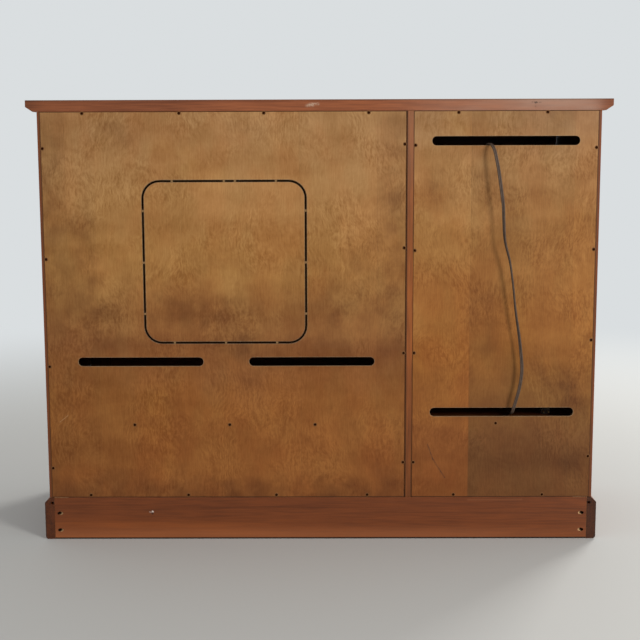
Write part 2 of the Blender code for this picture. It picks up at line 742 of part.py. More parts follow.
def case_leaf_mesh():
    """Return the leaf on the case: a plate cut out round the other leaf, two knuckles and the pin."""
    depth = LEAF_DEPTH + BARREL_RADIUS + FIT
    mesh, place = hinge_plate("case_leaf", depth, HINGE_HEIGHT)
    leaf = add_tool("case_leaf", mesh, place)
    window = TONGUE_HEIGHT / 2 + KNUCKLE_GAP
    low = (-BARREL_RADIUS, -2 * BARREL_RADIUS, -window)
    cut(leaf, box_tool("leaf_window", low, (BARREL_RADIUS, depth - LEAF_WEB, window)))
    knuckle = HINGE_HEIGHT / 2 - window
    for end in (-1, 1):
        rod = rod_mesh("end_knuckle", BARREL_RADIUS, BARREL_RADIUS, knuckle, HINGE_SIDES)
        join(leaf, add_tool("end_knuckle", rod, (0.0, 0.0, end * (window + knuckle / 2))))
    pin_length = HINGE_HEIGHT - knuckle
    join(leaf, add_tool("hinge_pin", rod_mesh("hinge_pin", PIN_RADIUS, PIN_RADIUS, pin_length, HINGE_SIDES)))
    return evaluated_at_origin(leaf)


def door_leaf_mesh():
    """Return the leaf on the door: a tongue plate with one long knuckle, bored for the pin."""
    depth = LEAF_DEPTH + BARREL_RADIUS + FIT - LEAF_WEB - KNUCKLE_GAP
    mesh, place = hinge_plate("door_leaf", depth, TONGUE_HEIGHT)
    leaf = add_tool("door_leaf", mesh, place)
    rod = rod_mesh("long_knuckle", BARREL_RADIUS, BARREL_RADIUS, TONGUE_HEIGHT, HINGE_SIDES)
    join(leaf, add_tool("long_knuckle", rod))
    bore = PIN_RADIUS + PIN_PLAY
    length = TONGUE_HEIGHT + 2 * TOOL_REACH
    cut(leaf, add_tool("pin_bore", rod_mesh("pin_bore", bore, bore, length, HINGE_SIDES)))
    return evaluated_at_origin(leaf)


def evaluated_at_origin(obj):
    """Return an object's finished shape with its place in the mesh, and remove the object."""
    bpy.context.view_layer.update()
    place = obj.matrix_world.copy()
    mesh = evaluated_mesh(obj)
    mesh.transform(place)
    return mesh


def build_hinges(name, axis_x, pivot):
    """Add a door's two hinges."""
    low = SHELF_HIGH + DOOR_GAP + HINGE_INSET
    high = RAIL_LOW - DOOR_GAP - HINGE_INSET
    for end, height in (("lower", low), ("upper", high)):
        place = (axis_x, HINGE_Y, height)
        add_object(f"{name}_case_leaf_{end}", CASE_LEAF.copy(), place, BRASS)
        add_object(f"{name}_door_leaf_{end}", DOOR_LEAF.copy(), place, BRASS, pivot)


def build_door(name, low_x, high_x, axis_x):
    """Add a framed door, hung at axis_x: two stiles, two tenoned rails and a loose panel."""
    pivot = add_pivot(f"{name}_pivot", (axis_x, HINGE_Y, SHELF_HIGH))
    low_z = SHELF_HIGH + DOOR_GAP
    high_z = RAIL_LOW - DOOR_GAP
    back_y = FRONT_Y + DOOR_THICKNESS
    inner_low = low_x + STILE_WIDTH
    inner_high = high_x - STILE_WIDTH
    panel_low_z = low_z + BOTTOM_RAIL_HEIGHT
    panel_high_z = high_z - TOP_RAIL_HEIGHT
    panel_front = FRONT_Y + PANEL_SETBACK
    panel_back = panel_front + PANEL_THICKNESS

    stile_groove = box_tool(
        f"{name}_stile_groove",
        (inner_low - GROOVE_DEPTH, panel_front - FIT, low_z - TOOL_REACH),
        (inner_high + GROOVE_DEPTH, panel_back + FIT, high_z + TOOL_REACH),
    )
    rail_groove = box_tool(
        f"{name}_rail_groove",
        (low_x, panel_front - FIT, panel_low_z - GROOVE_DEPTH),
        (high_x, panel_back + FIT, panel_high_z + GROOVE_DEPTH),
    )
    for side, start, end in (("left", low_x, inner_low), ("right", inner_high, high_x)):
        stile = board(f"{name}_stile_{side}", (start, FRONT_Y, low_z), (end, back_y, high_z), CHERRY, pivot)
        cut(stile, stile_groove)

    tenon = GROOVE_DEPTH - FIT
    for end, start, stop in (("bottom", low_z, panel_low_z), ("top", panel_high_z, high_z)):
        low = (inner_low + FIT, FRONT_Y, start)
        rail = board(f"{name}_rail_{end}", low, (inner_high - FIT, back_y, stop), CHERRY, pivot)
        low = (inner_low - tenon, panel_front, start + BOARD_EASE)
        high = (inner_high + tenon, panel_back, stop - BOARD_EASE)
        join(rail, box_tool(f"{name}_tenons_{end}", low, high))
        cut(rail, rail_groove)

    entry = GROOVE_DEPTH - PANEL_PLAY
    low = (inner_low - entry, panel_front, panel_low_z - entry)
    high = (inner_high + entry, panel_back, panel_high_z + entry)
    board(f"{name}_panel", low, high, CHERRY, pivot)

    hung_left = axis_x < low_x
    knob_x = high_x - STILE_WIDTH / 2 if hung_left else low_x + STILE_WIDTH / 2
    add_knob(f"{name}_knob", knob_x, SHELF_HIGH + DOOR_KNOB_RISE, pivot)
    build_hinges(name, axis_x, pivot)


def build_doors():
    """Add the media door and the pair of television doors."""
    middle = (PARTITION_HIGH + INNER_HALF) / 2
    half_gap = HINGE_GAP / 2
    build_door("media_door", HINGE_GAP - INNER_HALF, PARTITION_LOW - DOOR_GAP, half_gap - INNER_HALF)
    start = PARTITION_HIGH + HINGE_GAP
    build_door("tv_door_left", start, middle - MEETING_GAP / 2, PARTITION_HIGH + half_gap)
    end = INNER_HALF - HINGE_GAP
    build_door("tv_door_right", middle + MEETING_GAP / 2, end, INNER_HALF - half_gap)


def build_drawer(name, low_x, high_x, knob_offsets):
    """Add a drawer: an inset front, a dovetailed box of two sides and a back, and its bottom."""
    pivot = add_pivot(f"{name}_slide", ((low_x + high_x) / 2, FRONT_Y, DRAWER_LOW))
    front_back = FRONT_Y + DRAWER_FRONT_THICKNESS
    box_front = front_back + FIT
    box_back = LEDGE_Y - DRAWER_BACK_ROOM
    box_low = DRAWER_LOW + FIT
    side_low = low_x + DRAWER_CLEARANCE
    side_high = high_x - DRAWER_CLEARANCE
    inner_low = side_low + DRAWER_SIDE_THICKNESS
    inner_high = side_high - DRAWER_SIDE_THICKNESS
    inner_back = box_back - DRAWER_SIDE_THICKNESS
    floor_low = box_low + DRAWER_BOTTOM_RISE
    floor_high = floor_low + DRAWER_BOTTOM_THICKNESS

    groove = box_tool(
        f"{name}_groove",
        (inner_low - DRAWER_GROOVE, front_back - DRAWER_GROOVE, floor_low - FIT),
        (inner_high + DRAWER_GROOVE, inner_back + DRAWER_GROOVE, floor_high + FIT),
    )
    front_low = (low_x + DOOR_GAP, FRONT_Y, DRAWER_LOW + DOOR_GAP)
    front_high = (high_x - DOOR_GAP, front_back, DRAWER_HIGH - DOOR_GAP)
    front = board(f"{name}_front", front_low, front_high, CHERRY, pivot)
    cut(front, groove)

    box_high = box_low + DRAWER_SIDE_HEIGHT
    box = board(
        f"{name}_box",
        (side_low, box_front, box_low),
        (side_high, box_back, box_high),
        DRAWER_WOOD,
        pivot,
    )
    inside = box_tool(
        f"{name}_inside",
        (inner_low, FRONT_Y, box_low - TOOL_REACH),
        (inner_high, inner_back, box_high + TOOL_REACH),
    )
    cut(box, inside, groove)

    entry = DRAWER_GROOVE - FIT
    low = (inner_low - entry, front_back - entry, floor_low)
    high = (inner_high + entry, inner_back + entry, floor_high)
    board(f"{name}_bottom", low, high, DRAWER_WOOD, pivot, ease=0.0)

    middle = (low_x + high_x) / 2
    height = (DRAWER_LOW + DRAWER_HIGH) / 2
    for side, offset in knob_offsets.items():
        add_knob(f"{name}_knob{side}", middle + offset, height, pivot)


def build_drawers():
    """Add the narrow drawer with one knob and the wide one with two."""
    build_drawer("media_drawer", -INNER_HALF, PARTITION_LOW, {"": 0.0})
    half = DRAWER_KNOB_SPACING / 2
    build_drawer("tv_drawer", PARTITION_HIGH, INNER_HALF, {"_left": -half, "_right": half})


def build_outlet_block():
    """Add the three-way outlet block on the partition, with its moulded strain relief."""
    high_x = PARTITION_LOW - FIT
    low_x = high_x - OUTLET_THICKNESS
    back_y = LEDGE_Y - OUTLET_BACK_ROOM
    low = (low_x, back_y - OUTLET_WIDTH, OUTLET_LOW)
    block = board("outlet_block", low, (high_x, back_y, OUTLET_HIGH), BROWN_PLASTIC, ease=OUTLET_EASE)
    mesh = rod_mesh("relief", RELIEF_RADIUS, RELIEF_TIP_RADIUS, RELIEF_LENGTH + SOCKET_DEPTH, HINGE_SIDES)
    mesh.transform(Matrix.Rotation(-math.pi / 2, 4, "Y"))
    relief_x = low_x - (RELIEF_LENGTH - SOCKET_DEPTH) / 2
    join(block, add_tool("relief", mesh, (relief_x, RELIEF_Y, RELIEF_Z)))
    first = OUTLET_LOW + SOCKET_SIZE / 2 + 2 * SOCKET_DEPTH
    for index in range(3):
        size = (2 * SOCKET_DEPTH, SOCKET_SIZE, SOCKET_SIZE)
        socket = add_tool("socket_recess", box_mesh("socket_recess", size))
        socket.location = (low_x, RELIEF_Y, first + index * SOCKET_PITCH)
        cut(block, socket)


def smooth_curve(route, step):
    """Return evenly spaced points on a smooth curve through a route's points."""
    points = [Vector(point) for point in route]
    ends = [2 * points[0] - points[1], *points, 2 * points[-1] - points[-2]]
    fine = []
    for before, start, stop, after in zip(ends, ends[1:], ends[2:], ends[3:]):
        for part in range(CURVE_PARTS):
            t = part / CURVE_PARTS
            bend = 2 * before - 5 * start + 4 * stop - after
            twist = 3 * start - before - 3 * stop + after
            fine.append((2 * start + (stop - before) * t + bend * t * t + twist * t ** 3) / 2)
    fine.append(points[-1])
    total = sum((b - a).length for a, b in zip(fine, fine[1:]))
    count = max(2, round(total / step))
    spaced = [fine[0]]
    travelled = 0.0
    for a, b in zip(fine, fine[1:]):
        run = (b - a).length
        while len(spaced) < count and travelled + run >= len(spaced) * total / count:
            spaced.append(a.lerp(b, (len(spaced) * total / count - travelled) / run))
        travelled += run
    spaced.append(points[-1])
    return spaced


def coil_points():
    """Return the coil's path: a spiral in on the shelf, a half turn up a layer and a spiral out."""
    points = []
    centre = Vector((COIL_X, COIL_Y, CORD_REST))
    turns = 2 * COIL_TURNS + 0.5
    inner = COIL_RADIUS - COIL_PITCH * COIL_TURNS
    for step in range(round(turns * LOOP_POINTS) + 1):
        turn = step / LOOP_POINTS
        climb = min(max(turn - COIL_TURNS, 0.0), 0.5)
        radius = inner - COIL_PITCH * (climb - 2 * climb * climb)
        radius += COIL_PITCH * max(COIL_TURNS - turn, turn - COIL_TURNS - 0.5, 0.0)
        angle = -2 * math.pi * turn
        lift = COIL_LAYER * (0.5 - 0.5 * math.cos(2 * math.pi * climb))
        points.append(centre + Vector((radius * math.cos(angle), radius * math.sin(angle), lift)))
    return points


def least_gap(points, thickness, skip):
    """Return the least gap that a tube along these points leaves to itself."""
    gaps = []
    for index, point in enumerate(points):
        for other in points[index + skip:]:
            gaps.append((other - point).length - thickness)
    return min(gaps)


def path_length(points):
    """Return the length along a path."""
    return sum((b - a).length for a, b in zip(points, points[1:]))


def add_tube(name, points, resolution, material):
    """Add a tube of the lead's diameter along a path."""
    curve = bpy.data.curves.new(name, "CURVE")
    curve.dimensions = "3D"
    curve.bevel_depth = CORD_RADIUS
    curve.bevel_resolution = resolution
    curve.use_fill_caps = True
    spline = curve.splines.new("POLY")
    spline.points.add(len(points) - 1)
    for point, place in zip(spline.points, points):
        point.co = (*place, 1.0)
    curve.materials.append(material)
    PARTS.objects.link(bpy.data.objects.new(name, curve))


def build_plug(end):
    """Add the lead's two-blade plug, lying on the shelf where the lead ends."""
    place = Vector((end.x, end.y + FIT + PLUG_LENGTH / 2, SHELF_HIGH + FIT + PLUG_THICKNESS / 2))
    mesh = box_mesh("cord_plug", (PLUG_WIDTH, PLUG_LENGTH, PLUG_THICKNESS))
    plug = add_object("cord_plug", mesh, place, BROWN_PLASTIC)
    ease_edges(plug, PLUG_EASE)
    reach = (PLUG_LENGTH + BLADE_LENGTH) / 2 - SOCKET_DEPTH
    for side in (-0.5, 0.5):
        mesh = box_mesh("plug_blade", (BLADE_THICKNESS, BLADE_LENGTH, BLADE_WIDTH))
        join(plug, add_tool("plug_blade", mesh, place + Vector((side * BLADE_SPACING, reach, 0.0))))


def run_route(coil_start):
    """Return the points that the lead passes from the outlet block to the coil's start."""
    route = [
        (CORD_START_X, RELIEF_Y, RELIEF_Z),
        (CORD_START_X - 2 * CORD_DIAMETER, RELIEF_Y, RELIEF_Z),
    ]
    for across, outward, share in HANGING_LEAD:
        height = LOWER_SLOT_Z + share * (UPPER_SLOT_Z - LOWER_SLOT_Z)
        route.append((MEDIA_BACK_X + across, BACK_Y + outward, height))
    for across, back, rise in SHELF_LEAD:
        route.append((COIL_X + COIL_RADIUS + across, COIL_Y + back, CORD_REST + rise))
    route.append(coil_start + Vector((0.0, FIT, 0.0)))
    return route


def tail_route():
    """Return the points that the lead passes from the coil to the plug."""
    edge_x = COIL_X - COIL_RADIUS
    return [(edge_x + across, COIL_Y + back, CORD_REST + rise) for across, back, rise in TAIL_LEAD]


def build_lead():
    """Add the lead: its run down the back, its coil on the media shelf and its plug."""
    coil = coil_points()
    coil_start = coil[0] + Vector((0.0, CORD_DIAMETER, 0.0))
    run = smooth_curve(run_route(coil_start), CORD_STEP)
    add_tube("cord_run", run, 2, LEAD_VINYL)
    tail = smooth_curve([coil[-1], *tail_route()], CORD_STEP)
    wound = [coil_start, *coil, *tail[1:]]
    add_tube("cord_coil", wound, 1, LEAD_VINYL)
    build_plug(tail[-1])
    print("coil's least gap to itself, mm:", round(1000 * least_gap(wound, CORD_DIAMETER, LOOP_POINTS // 3), 2))
    print("lead's length, m:", round(path_length(run) + path_length(wound), 3))


KNOB = knob_mesh()
CASE_LEAF = case_leaf_mesh()
DOOR_LEAF = door_leaf_mesh()
build_top()
build_case()
build_loose_shelves()
build_back()
build_plinth()
build_doors()
build_drawers()
build_outlet_block()
build_lead()
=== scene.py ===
"""Dresses the console television cabinet: finishes, fittings and lead, with a floor, light and camera."""

import logging
import math
from collections.abc import Callable, Iterable
from dataclasses import dataclass
from enum import Enum

import bmesh
import bpy
from mathutils import Matrix, Vector


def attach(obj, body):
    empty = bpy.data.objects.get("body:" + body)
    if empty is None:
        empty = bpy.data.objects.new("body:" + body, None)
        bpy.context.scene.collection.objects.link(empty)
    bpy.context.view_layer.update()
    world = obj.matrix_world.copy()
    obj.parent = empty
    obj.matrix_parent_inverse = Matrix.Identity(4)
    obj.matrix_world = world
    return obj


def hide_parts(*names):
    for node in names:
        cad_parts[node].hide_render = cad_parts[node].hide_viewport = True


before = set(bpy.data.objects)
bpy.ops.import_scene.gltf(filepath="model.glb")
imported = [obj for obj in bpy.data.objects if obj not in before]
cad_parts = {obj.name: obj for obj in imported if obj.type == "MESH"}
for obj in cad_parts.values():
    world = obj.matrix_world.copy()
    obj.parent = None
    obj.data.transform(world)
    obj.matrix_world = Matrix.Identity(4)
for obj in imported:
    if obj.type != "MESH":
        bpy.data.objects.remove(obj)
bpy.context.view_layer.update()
LOG = logging.getLogger("console_cabinet")

Tree = bpy.types.NodeTree
Node = bpy.types.Node
Socket = bpy.types.NodeSocket
Material = bpy.types.Material
Mesh = bpy.types.Mesh
Object = bpy.types.Object
Shape = bmesh.types.BMesh
Vert = bmesh.types.BMVert
Pair = tuple[float, float]
Point = tuple[float, float, float]
Colour = tuple[float, float, float]

CABINET = "cabinet"
BACK_Y = 0.2795
SQUARE = ((-1, -1), (1, -1), (1, 1), (-1, 1))


class Grain(Enum):
    """The axis that a board's grain runs along."""

    ALONG_X = 0
    ALONG_Y = 1
    ALONG_Z = 2


def add_node(tree: Tree, kind: str, inputs: dict | None = None, **settings: object) -> Node:
    """Add a node and set or link its inputs.

    Args:
        tree: The tree that takes the node.
        kind: The node's type.
        inputs: A plain value, a socket or a field for each input, by the input's name or number.
        **settings: The node's own properties.

    Returns:
        The node.
    """
    node = tree.nodes.new(kind)
    for name, value in settings.items():
        setattr(node, name, value)
    for name, value in (inputs or {}).items():
        source = value.socket if isinstance(value, Field) else value
        if isinstance(source, Socket):
            tree.links.new(source, node.inputs[name])
        else:
            node.inputs[name].default_value = source
    return node


class Field:
    """A number, vector or colour over a surface, whose arithmetic lays nodes in the surface's tree."""

    def __init__(self, tree: Tree, socket: Socket) -> None:
        """Keep the tree and the socket that gives the value."""
        self.tree = tree
        self.socket = socket

    @property
    def wide(self) -> bool:
        """Whether this is a vector or a colour."""
        return self.socket.type != "VALUE"

    def node(self, kind: str, inputs: dict, output: int | str = 0, **settings: object) -> "Field":
        """Return an output of a new node in the same tree."""
        return Field(self.tree, add_node(self.tree, kind, inputs, **settings).outputs[output])

    def math(self, operation: str, other: "Field | float" = 0.0, clamp: bool = False) -> "Field":
        """Return an operation on this number and another."""
        return self.node("ShaderNodeMath", {0: self, 1: other}, operation=operation, use_clamp=clamp)

    def vector(self, operation: str, inputs: dict, output: str = "Vector") -> "Field":
        """Return an operation on this vector or colour and other inputs."""
        return self.node("ShaderNodeVectorMath", {0: self, **inputs}, output, operation=operation)

    def __add__(self, other: "Field | float | Point") -> "Field":
        """Return the sum of two numbers or two vectors."""
        return self.vector("ADD", {1: other}) if self.wide else self.math("ADD", other)

    def __sub__(self, other: "Field | float | Point") -> "Field":
        """Return the difference of two numbers or two vectors."""
        return self.vector("SUBTRACT", {1: other}) if self.wide else self.math("SUBTRACT", other)

    def __rsub__(self, whole: float) -> "Field":
        """Return what this number leaves of a plain one."""
        return self * -1.0 + whole

    def __mul__(self, other: "Field | float | Point") -> "Field":
        """Multiply this by a number, or part by part by a vector or colour.

        Args:
            other: The other value, which is a number if this is one.

        Returns:
            The product.
        """
        if not self.wide:
            return self.math("MULTIPLY", other)
        by_parts = other.wide if isinstance(other, Field) else isinstance(other, tuple)
        return self.vector("MULTIPLY", {1: other}) if by_parts else self.vector("SCALE", {"Scale": other})

    def __truediv__(self, other: "Field | float") -> "Field":
        """Return the quotient of two numbers."""
        return self.math("DIVIDE", other)

    def __abs__(self) -> "Field":
        """Return this number without its sign."""
        return self.math("ABSOLUTE")

    def most(self, other: "Field | float" = 0.0) -> "Field":
        """Return the larger of this number and another."""
        return self.math("MAXIMUM", other)

    def least(self, other: "Field | float" = 0.0) -> "Field":
        """Return the smaller of this number and another."""
        return self.math("MINIMUM", other)

    def clamped(self) -> "Field":
        """Return this number kept from 0 to 1."""
        return self.math("ADD", clamp=True)

    def eased(self, low: float, high: float, to_low: float = 0.0, to_high: float = 1.0) -> "Field":
        """Ease this number from one range into another.

        Args:
            low: Where its range starts; above high, the range is turned round.
            high: Where its range ends.
            to_low: What the start becomes.
            to_high: What the end becomes.

        Returns:
            The eased number.
        """
        ends = (low, high, to_low, to_high) if low < high else (high, low, to_high, to_low)
        inputs = dict(enumerate((self, *ends)))
        return self.node("ShaderNodeMapRange", inputs, interpolation_type="SMOOTHSTEP")

    def between(self, first: "Field | Colour", second: "Field | Colour") -> "Field":
        """Return the colour at this share of the way from one colour to another."""
        ends = [value if isinstance(value, Field) else (*value, 1.0) for value in (first, second)]
        return self.node("ShaderNodeMix", {0: self, 6: ends[0], 7: ends[1]}, 2, data_type="RGBA")

    def ramp(self, stops: Iterable[tuple[float, Colour]], steps: bool = False) -> "Field":
        """Find this number on a scale of colours.

        Args:
            stops: The scale's places, from 0 to 1, and colours.
            steps: Whether the colours change at once at each place.

        Returns:
            The colour.
        """
        node = add_node(self.tree, "ShaderNodeValToRGB", {0: self})
        scale = node.color_ramp
        scale.interpolation = "CONSTANT" if steps else "LINEAR"
        stops = list(stops)
        while len(scale.elements) < len(stops):
            scale.elements.new(1.0)
        for element, (place, colour) in zip(scale.elements, stops):
            element.position = place
            element.color = (*colour, 1.0)
        return Field(self.tree, node.outputs[0])

    def noise(self, scale: "Field | float", detail: float = 3.0, rough: float = 0.5) -> "Field":
        """Return a smooth random number, about a half, that changes over these places."""
        inputs = {"Vector": self, "Scale": scale, "Detail": detail, "Roughness": rough}
        return self.node("ShaderNodeTexNoise", inputs, "Fac")

    def bump(self, strength: float, depth: float) -> "Field":
        """Return the normals of a surface that is raised a little by this height."""
        inputs = {"Height": self, "Strength": strength, "Distance": depth}
        return self.node("ShaderNodeBump", inputs, "Normal")

    def length(self) -> "Field":
        """Return this vector's length."""
        return self.vector("LENGTH", {}, "Value")

    def parts(self) -> list["Field"]:
        """Return this vector's three parts."""
        node = add_node(self.tree, "ShaderNodeSeparateXYZ", {0: self})
        return [Field(self.tree, socket) for socket in node.outputs]

    def joined(self, y: "Field", z: "Field | float") -> "Field":
        """Return the vector of this number and two more."""
        return self.node("ShaderNodeCombineXYZ", {0: self, 1: y, 2: z})


class Effects:
    """The surface effects that several finishes share, each a shader node group."""

    vectors = ("Vector", "Start", "End", "Normal")

    def __init__(self) -> None:
        """Build every group once."""
        self.grain = self._group("wood_grain", self._grain, "Vector", "Fibres", "Rings")
        self.blotches = self._group("stain_blotches", self._blotches, "Vector", "Scale")
        self.mark = self._group("straight_mark", self._mark, "Vector", "Start", "End", "Width", "Softness")
        self.worn = self._group("worn_and_highlit_edge", self._worn_and_highlit, "Normal", "Vector")

    def _group(self, name: str, work: Callable[..., dict[str, Field]], *labels: str) -> Tree:
        """Build one group.

        Args:
            name: The group's name.
            work: What gives its outputs by name, from its inputs in order.
            *labels: The inputs' names.

        Returns:
            The group.
        """
        tree = bpy.data.node_groups.new(name, "ShaderNodeTree")
        for label in labels:
            kind = "NodeSocketVector" if label in self.vectors else "NodeSocketFloat"
            tree.interface.new_socket(label, in_out="INPUT", socket_type=kind)
        given = add_node(tree, "NodeGroupInput").outputs
        outputs = work(*(Field(tree, given[label]) for label in labels))
        for label in outputs:
            tree.interface.new_socket(label, in_out="OUTPUT", socket_type="NodeSocketFloat")
        add_node(tree, "NodeGroupOutput", outputs)
        return tree

    @staticmethod
    def _grain(place: Field, fibres: Field, rings: Field) -> dict[str, Field]:
        """Draw the grain of a board along Z.

        Args:
            place: The places.
            fibres: How fine the fibres are.
            rings: How close the rings are.

        Returns:
            The fibres, the figure of the rings, and the pores.
        """
        fibre = (place * (1.0, 1.0, 0.045)).noise(fibres, 4.0)
        bands = (place * (1.0, 1.0, 0.16)).noise(rings, 2.0) * 150.0
        figure = (bands + fibre * 2.2).math("SINE")
        pores = (place * (1.0, 1.0, 0.07)).noise(900.0, 2.0)
        return {"Fibre": fibre, "Figure": figure.eased(-1.0, 1.0), "Pores": pores.eased(0.6, 0.72)}

    @staticmethod
    def _blotches(place: Field, scale: Field) -> dict[str, Field]:
        """Return the cloudy unevenness that stain leaves in wood."""
        total = place.noise(scale) * 0.58 + place.noise(scale * 4.3, 4.0) * 0.42
        return {"Cloud": total.eased(0.3, 0.7)}

    @staticmethod
    def _mark(place: Field, start: Field, end: Field, width: Field, soft: Field) -> dict[str, Field]:
        """Draw a straight mark with round ends: a scratch, a scuff or a slot's rim.

        Args:
            place: The places.
            start: One end.
            end: The other end.
            width: How far the mark reaches to each side.
            soft: How far it fades beyond that.

        Returns:
            The mask.
        """
        along = end - start
        reach = place - start
        run = reach.vector("DOT_PRODUCT", {1: along}, "Value")
        share = (run / along.vector("DOT_PRODUCT", {1: along}, "Value")).clamped()
        over = ((reach - along * share).length() - width) / soft
        return {"Mask": (1.0 - over).clamped()}

    @staticmethod
    def _worn_and_highlit(normal: Field, place: Field) -> dict[str, Field]:
        """Return where a board's eased edges are paler: worn, with a painted highlight where they catch the
        light.
        """
        x, y, z = (abs(part) for part in normal.parts())
        return {"Mask": x.most(y).most(z).eased(0.97, 0.85) * place.noise(26.0).eased(0.35, 0.62)}


@dataclass(frozen=True)
class Scuff:
    """A straight mark on a face at the back, with the X and Z of its ends."""

    start: Pair
    end: Pair
    width: float
    soft: float
    paint: Colour
    strength: float = 1.0


@dataclass
class Surface:
    """A new material, its shader, and the places and normals that its patterns read."""

    effects: Effects | None
    material: Material
    shader: Node
    place: Field
    normal: Field

    @classmethod
    def new(cls, name: str, effects: Effects | None = None, **constants: object) -> "Surface":
        """Start a material.

        Args:
            name: The material's name.
            effects: The shared effects, for a material that uses them.
            **constants: Plain values for the shader, by the input's name with _ for spaces.

        Returns:
            The surface, with nothing linked to its shader yet.
        """
        material = bpy.data.materials.new(name)
        material.use_nodes = True
        tree = material.node_tree
        shader = tree.nodes["Principled BSDF"]
        for label, value in constants.items():
            shader.inputs[label.replace("_", " ")].default_value = value
        read = add_node(tree, "ShaderNodeTexCoord").outputs
        return cls(effects, material, shader, Field(tree, read["Object"]), Field(tree, read["Normal"]))

    def put(self, **values: Field) -> Material:
        """Link values to the shader.

        Args:
            **values: The values, by the input's name with _ for spaces.

        Returns:
            The material.
        """
        for label, value in values.items():
            value.tree.links.new(value.socket, self.shader.inputs[label.replace("_", " ")])
        return self.material

    def effect(self, group: Tree, **inputs: object) -> dict[str, Field]:
        """Return the outputs of a shared effect by name, from a value or a field for each input."""
        node = add_node(self.place.tree, "ShaderNodeGroup", inputs, node_tree=group)
        return {socket.name: Field(self.place.tree, socket) for socket in node.outputs}

    def mark(self, start: Pair, end: Pair, width: float, soft: float) -> Field:
        """Return the mask of a straight mark on a face at the back."""
        ends = {"Start": (start[0], BACK_Y, start[1]), "End": (end[0], BACK_Y, end[1])}
        return self.effect(self.effects.mark, Vector=self.place, **ends, Width=width, Softness=soft)["Mask"]

    def scuffed(self, colour: Field, scuffs: Iterable[Scuff], patchy: Field | float = 1.0) -> Field:
        """Lay straight marks over a colour.

        Args:
            colour: The colour.
            scuffs: The marks.
            patchy: How much of them is left from place to place.

        Returns:
            The colour with the marks.
        """
        for scuff in scuffs:
            mask = self.mark(scuff.start, scuff.end, scuff.width, scuff.soft) * patchy
            colour = (mask * scuff.strength).between(colour, scuff.paint)
        return colour

    def along_grain(self, grain: Grain, seed: float) -> tuple[Field, Field]:
        """Turn the places so that the grain runs along Z.

        Args:
            grain: The axis of the board's grain.
            seed: How far the pattern is shifted, so that boards differ.

        Returns:
            The turned places, and how far the surface faces along the grain.
        """
        parts = self.place.parts()
        x, y, z = (parts[(grain.value + step) % 3] for step in (1, 2, 0))
        turned = x.joined(y, z) + (seed, 1.7 * seed, 0.6 * seed)
        return turned, abs(self.normal.parts()[grain.value])


@dataclass(frozen=True)
class Cherry:
    """Cherry under a reddish brown stain, for boards with the grain along one axis."""

    name: str
    grain: Grain
    seed: float
    dark: Colour = (0.1, 0.025, 0.0062)
    light: Colour = (0.225, 0.058, 0.0135)
    bare: Colour = (0.31, 0.13, 0.05)
    gloss: float = 0.4

    def material(self, effects: Effects) -> Material:
        """Make the material.

        Args:
            effects: The shared effects.

        Returns:
            The material.
        """
        made = Surface.new(self.name, effects, Specular_IOR_Level=0.26, Coat_Weight=0.05, Coat_Roughness=0.3)
        turned, end_on = made.along_grain(self.grain, self.seed)
        grain = made.effect(effects.grain, Vector=turned, Fibres=240.0, Rings=3.4)
        fibre = grain["Fibre"]
        cloud = made.effect(effects.blotches, Vector=turned * (1.0, 1.0, 0.3), Scale=6.5)["Cloud"]
        streaks = (turned * (1.0, 1.0, 0.014)).noise(75.0, 4.0)
        tone = grain["Figure"] * 0.16 + cloud * 0.3 + fibre.eased(0.28, 0.72, 0.0, 0.54)
        tone = (tone - streaks.eased(0.55, 0.72, 0.0, 0.34)).most()
        colour = (grain["Pores"] * 0.3).between(tone.between(self.dark, self.light), self.dark)
        # Eased edges paler: wear, with a painted highlight where they catch the light.
        worn = made.effect(effects.worn, Normal=made.normal, Vector=made.place)["Mask"]
        colour = (worn * 0.22).between(colour, self.bare)
        ends = end_on.eased(0.6, 0.9) * turned.noise(420.0).eased(0.7, 0.3, 0.35, 0.65)
        colour = self.aged_and_lit(made, colour * (1.0 - ends))
        rough = fibre.eased(0.2, 0.8, self.gloss + 0.1, self.gloss - 0.04)
        relief = (fibre * 0.5 - grain["Pores"]).bump(0.16, 0.0004)
        return made.put(Base_Color=colour, Roughness=rough, Normal=relief)

    def aged_and_lit(self, made: Surface, colour: Field) -> Field:
        """Return the stained wood's colour with what its place in the cabinet has done to it, painted light
        and shade included.
        """
        return colour


@dataclass(frozen=True)
class RearEdgeCherry(Cherry):
    """Cherry of a board whose rear edge shows beside the backs, with painted shade along the gaps between
    them.

    Each gap has the X of its two sides, and how dark its painted shade is at the top and at the foot.
    """

    gaps: tuple[tuple[float, float, float, float], ...] = ()
    gap_shade: Colour = (0.11, 0.035, 0.008)
    paler: Colour = (1.0, 1.0, 1.0)
    low_tone: float = 1.0
    sheen_haze: float = 0.0
    ledge_y: float = 0.2732
    ledge_painted_light: Colour = (0.4, 0.13, 0.025)
    sheen_tint: Colour = (0.34, 0.18, 0.105)

    def aged_and_lit(self, made: Surface, colour: Field) -> Field:
        """Add the paler edge, its painted sheen near the top, the ledge brightened with painted light, and
        the painted shade along the gaps.

        Args:
            made: The surface.
            colour: The stained wood's colour.

        Returns:
            The aged colour.
        """
        x, y, z = made.place.parts()
        rear = y.eased(self.ledge_y - 0.002, self.ledge_y - 0.0008)
        edge = colour * self.paler * z.eased(0.12, 0.6, self.low_tone, 1.0)
        # Painted sheen towards the top of the edge.
        edge = z.eased(0.8, 1.13, 0.0, self.sheen_haze).between(edge, self.sheen_tint)
        # The ledge and the walls in the gap, brightened with painted light against their shade.
        edge = y.eased(BACK_Y - 0.0004, BACK_Y - 0.0012).between(edge, self.ledge_painted_light)
        colour = rear.between(colour, edge)
        # Painted shade along each gap, on the tongue or the lip.
        for low, high, top, foot in self.gaps:
            half = (high - low) / 2
            line = abs(x - (low + high) / 2).eased(half + 0.0003, half - 0.0003)
            colour = (line * z.eased(0.2, 0.6, foot, top) * rear).between(colour, self.gap_shade)
        return colour


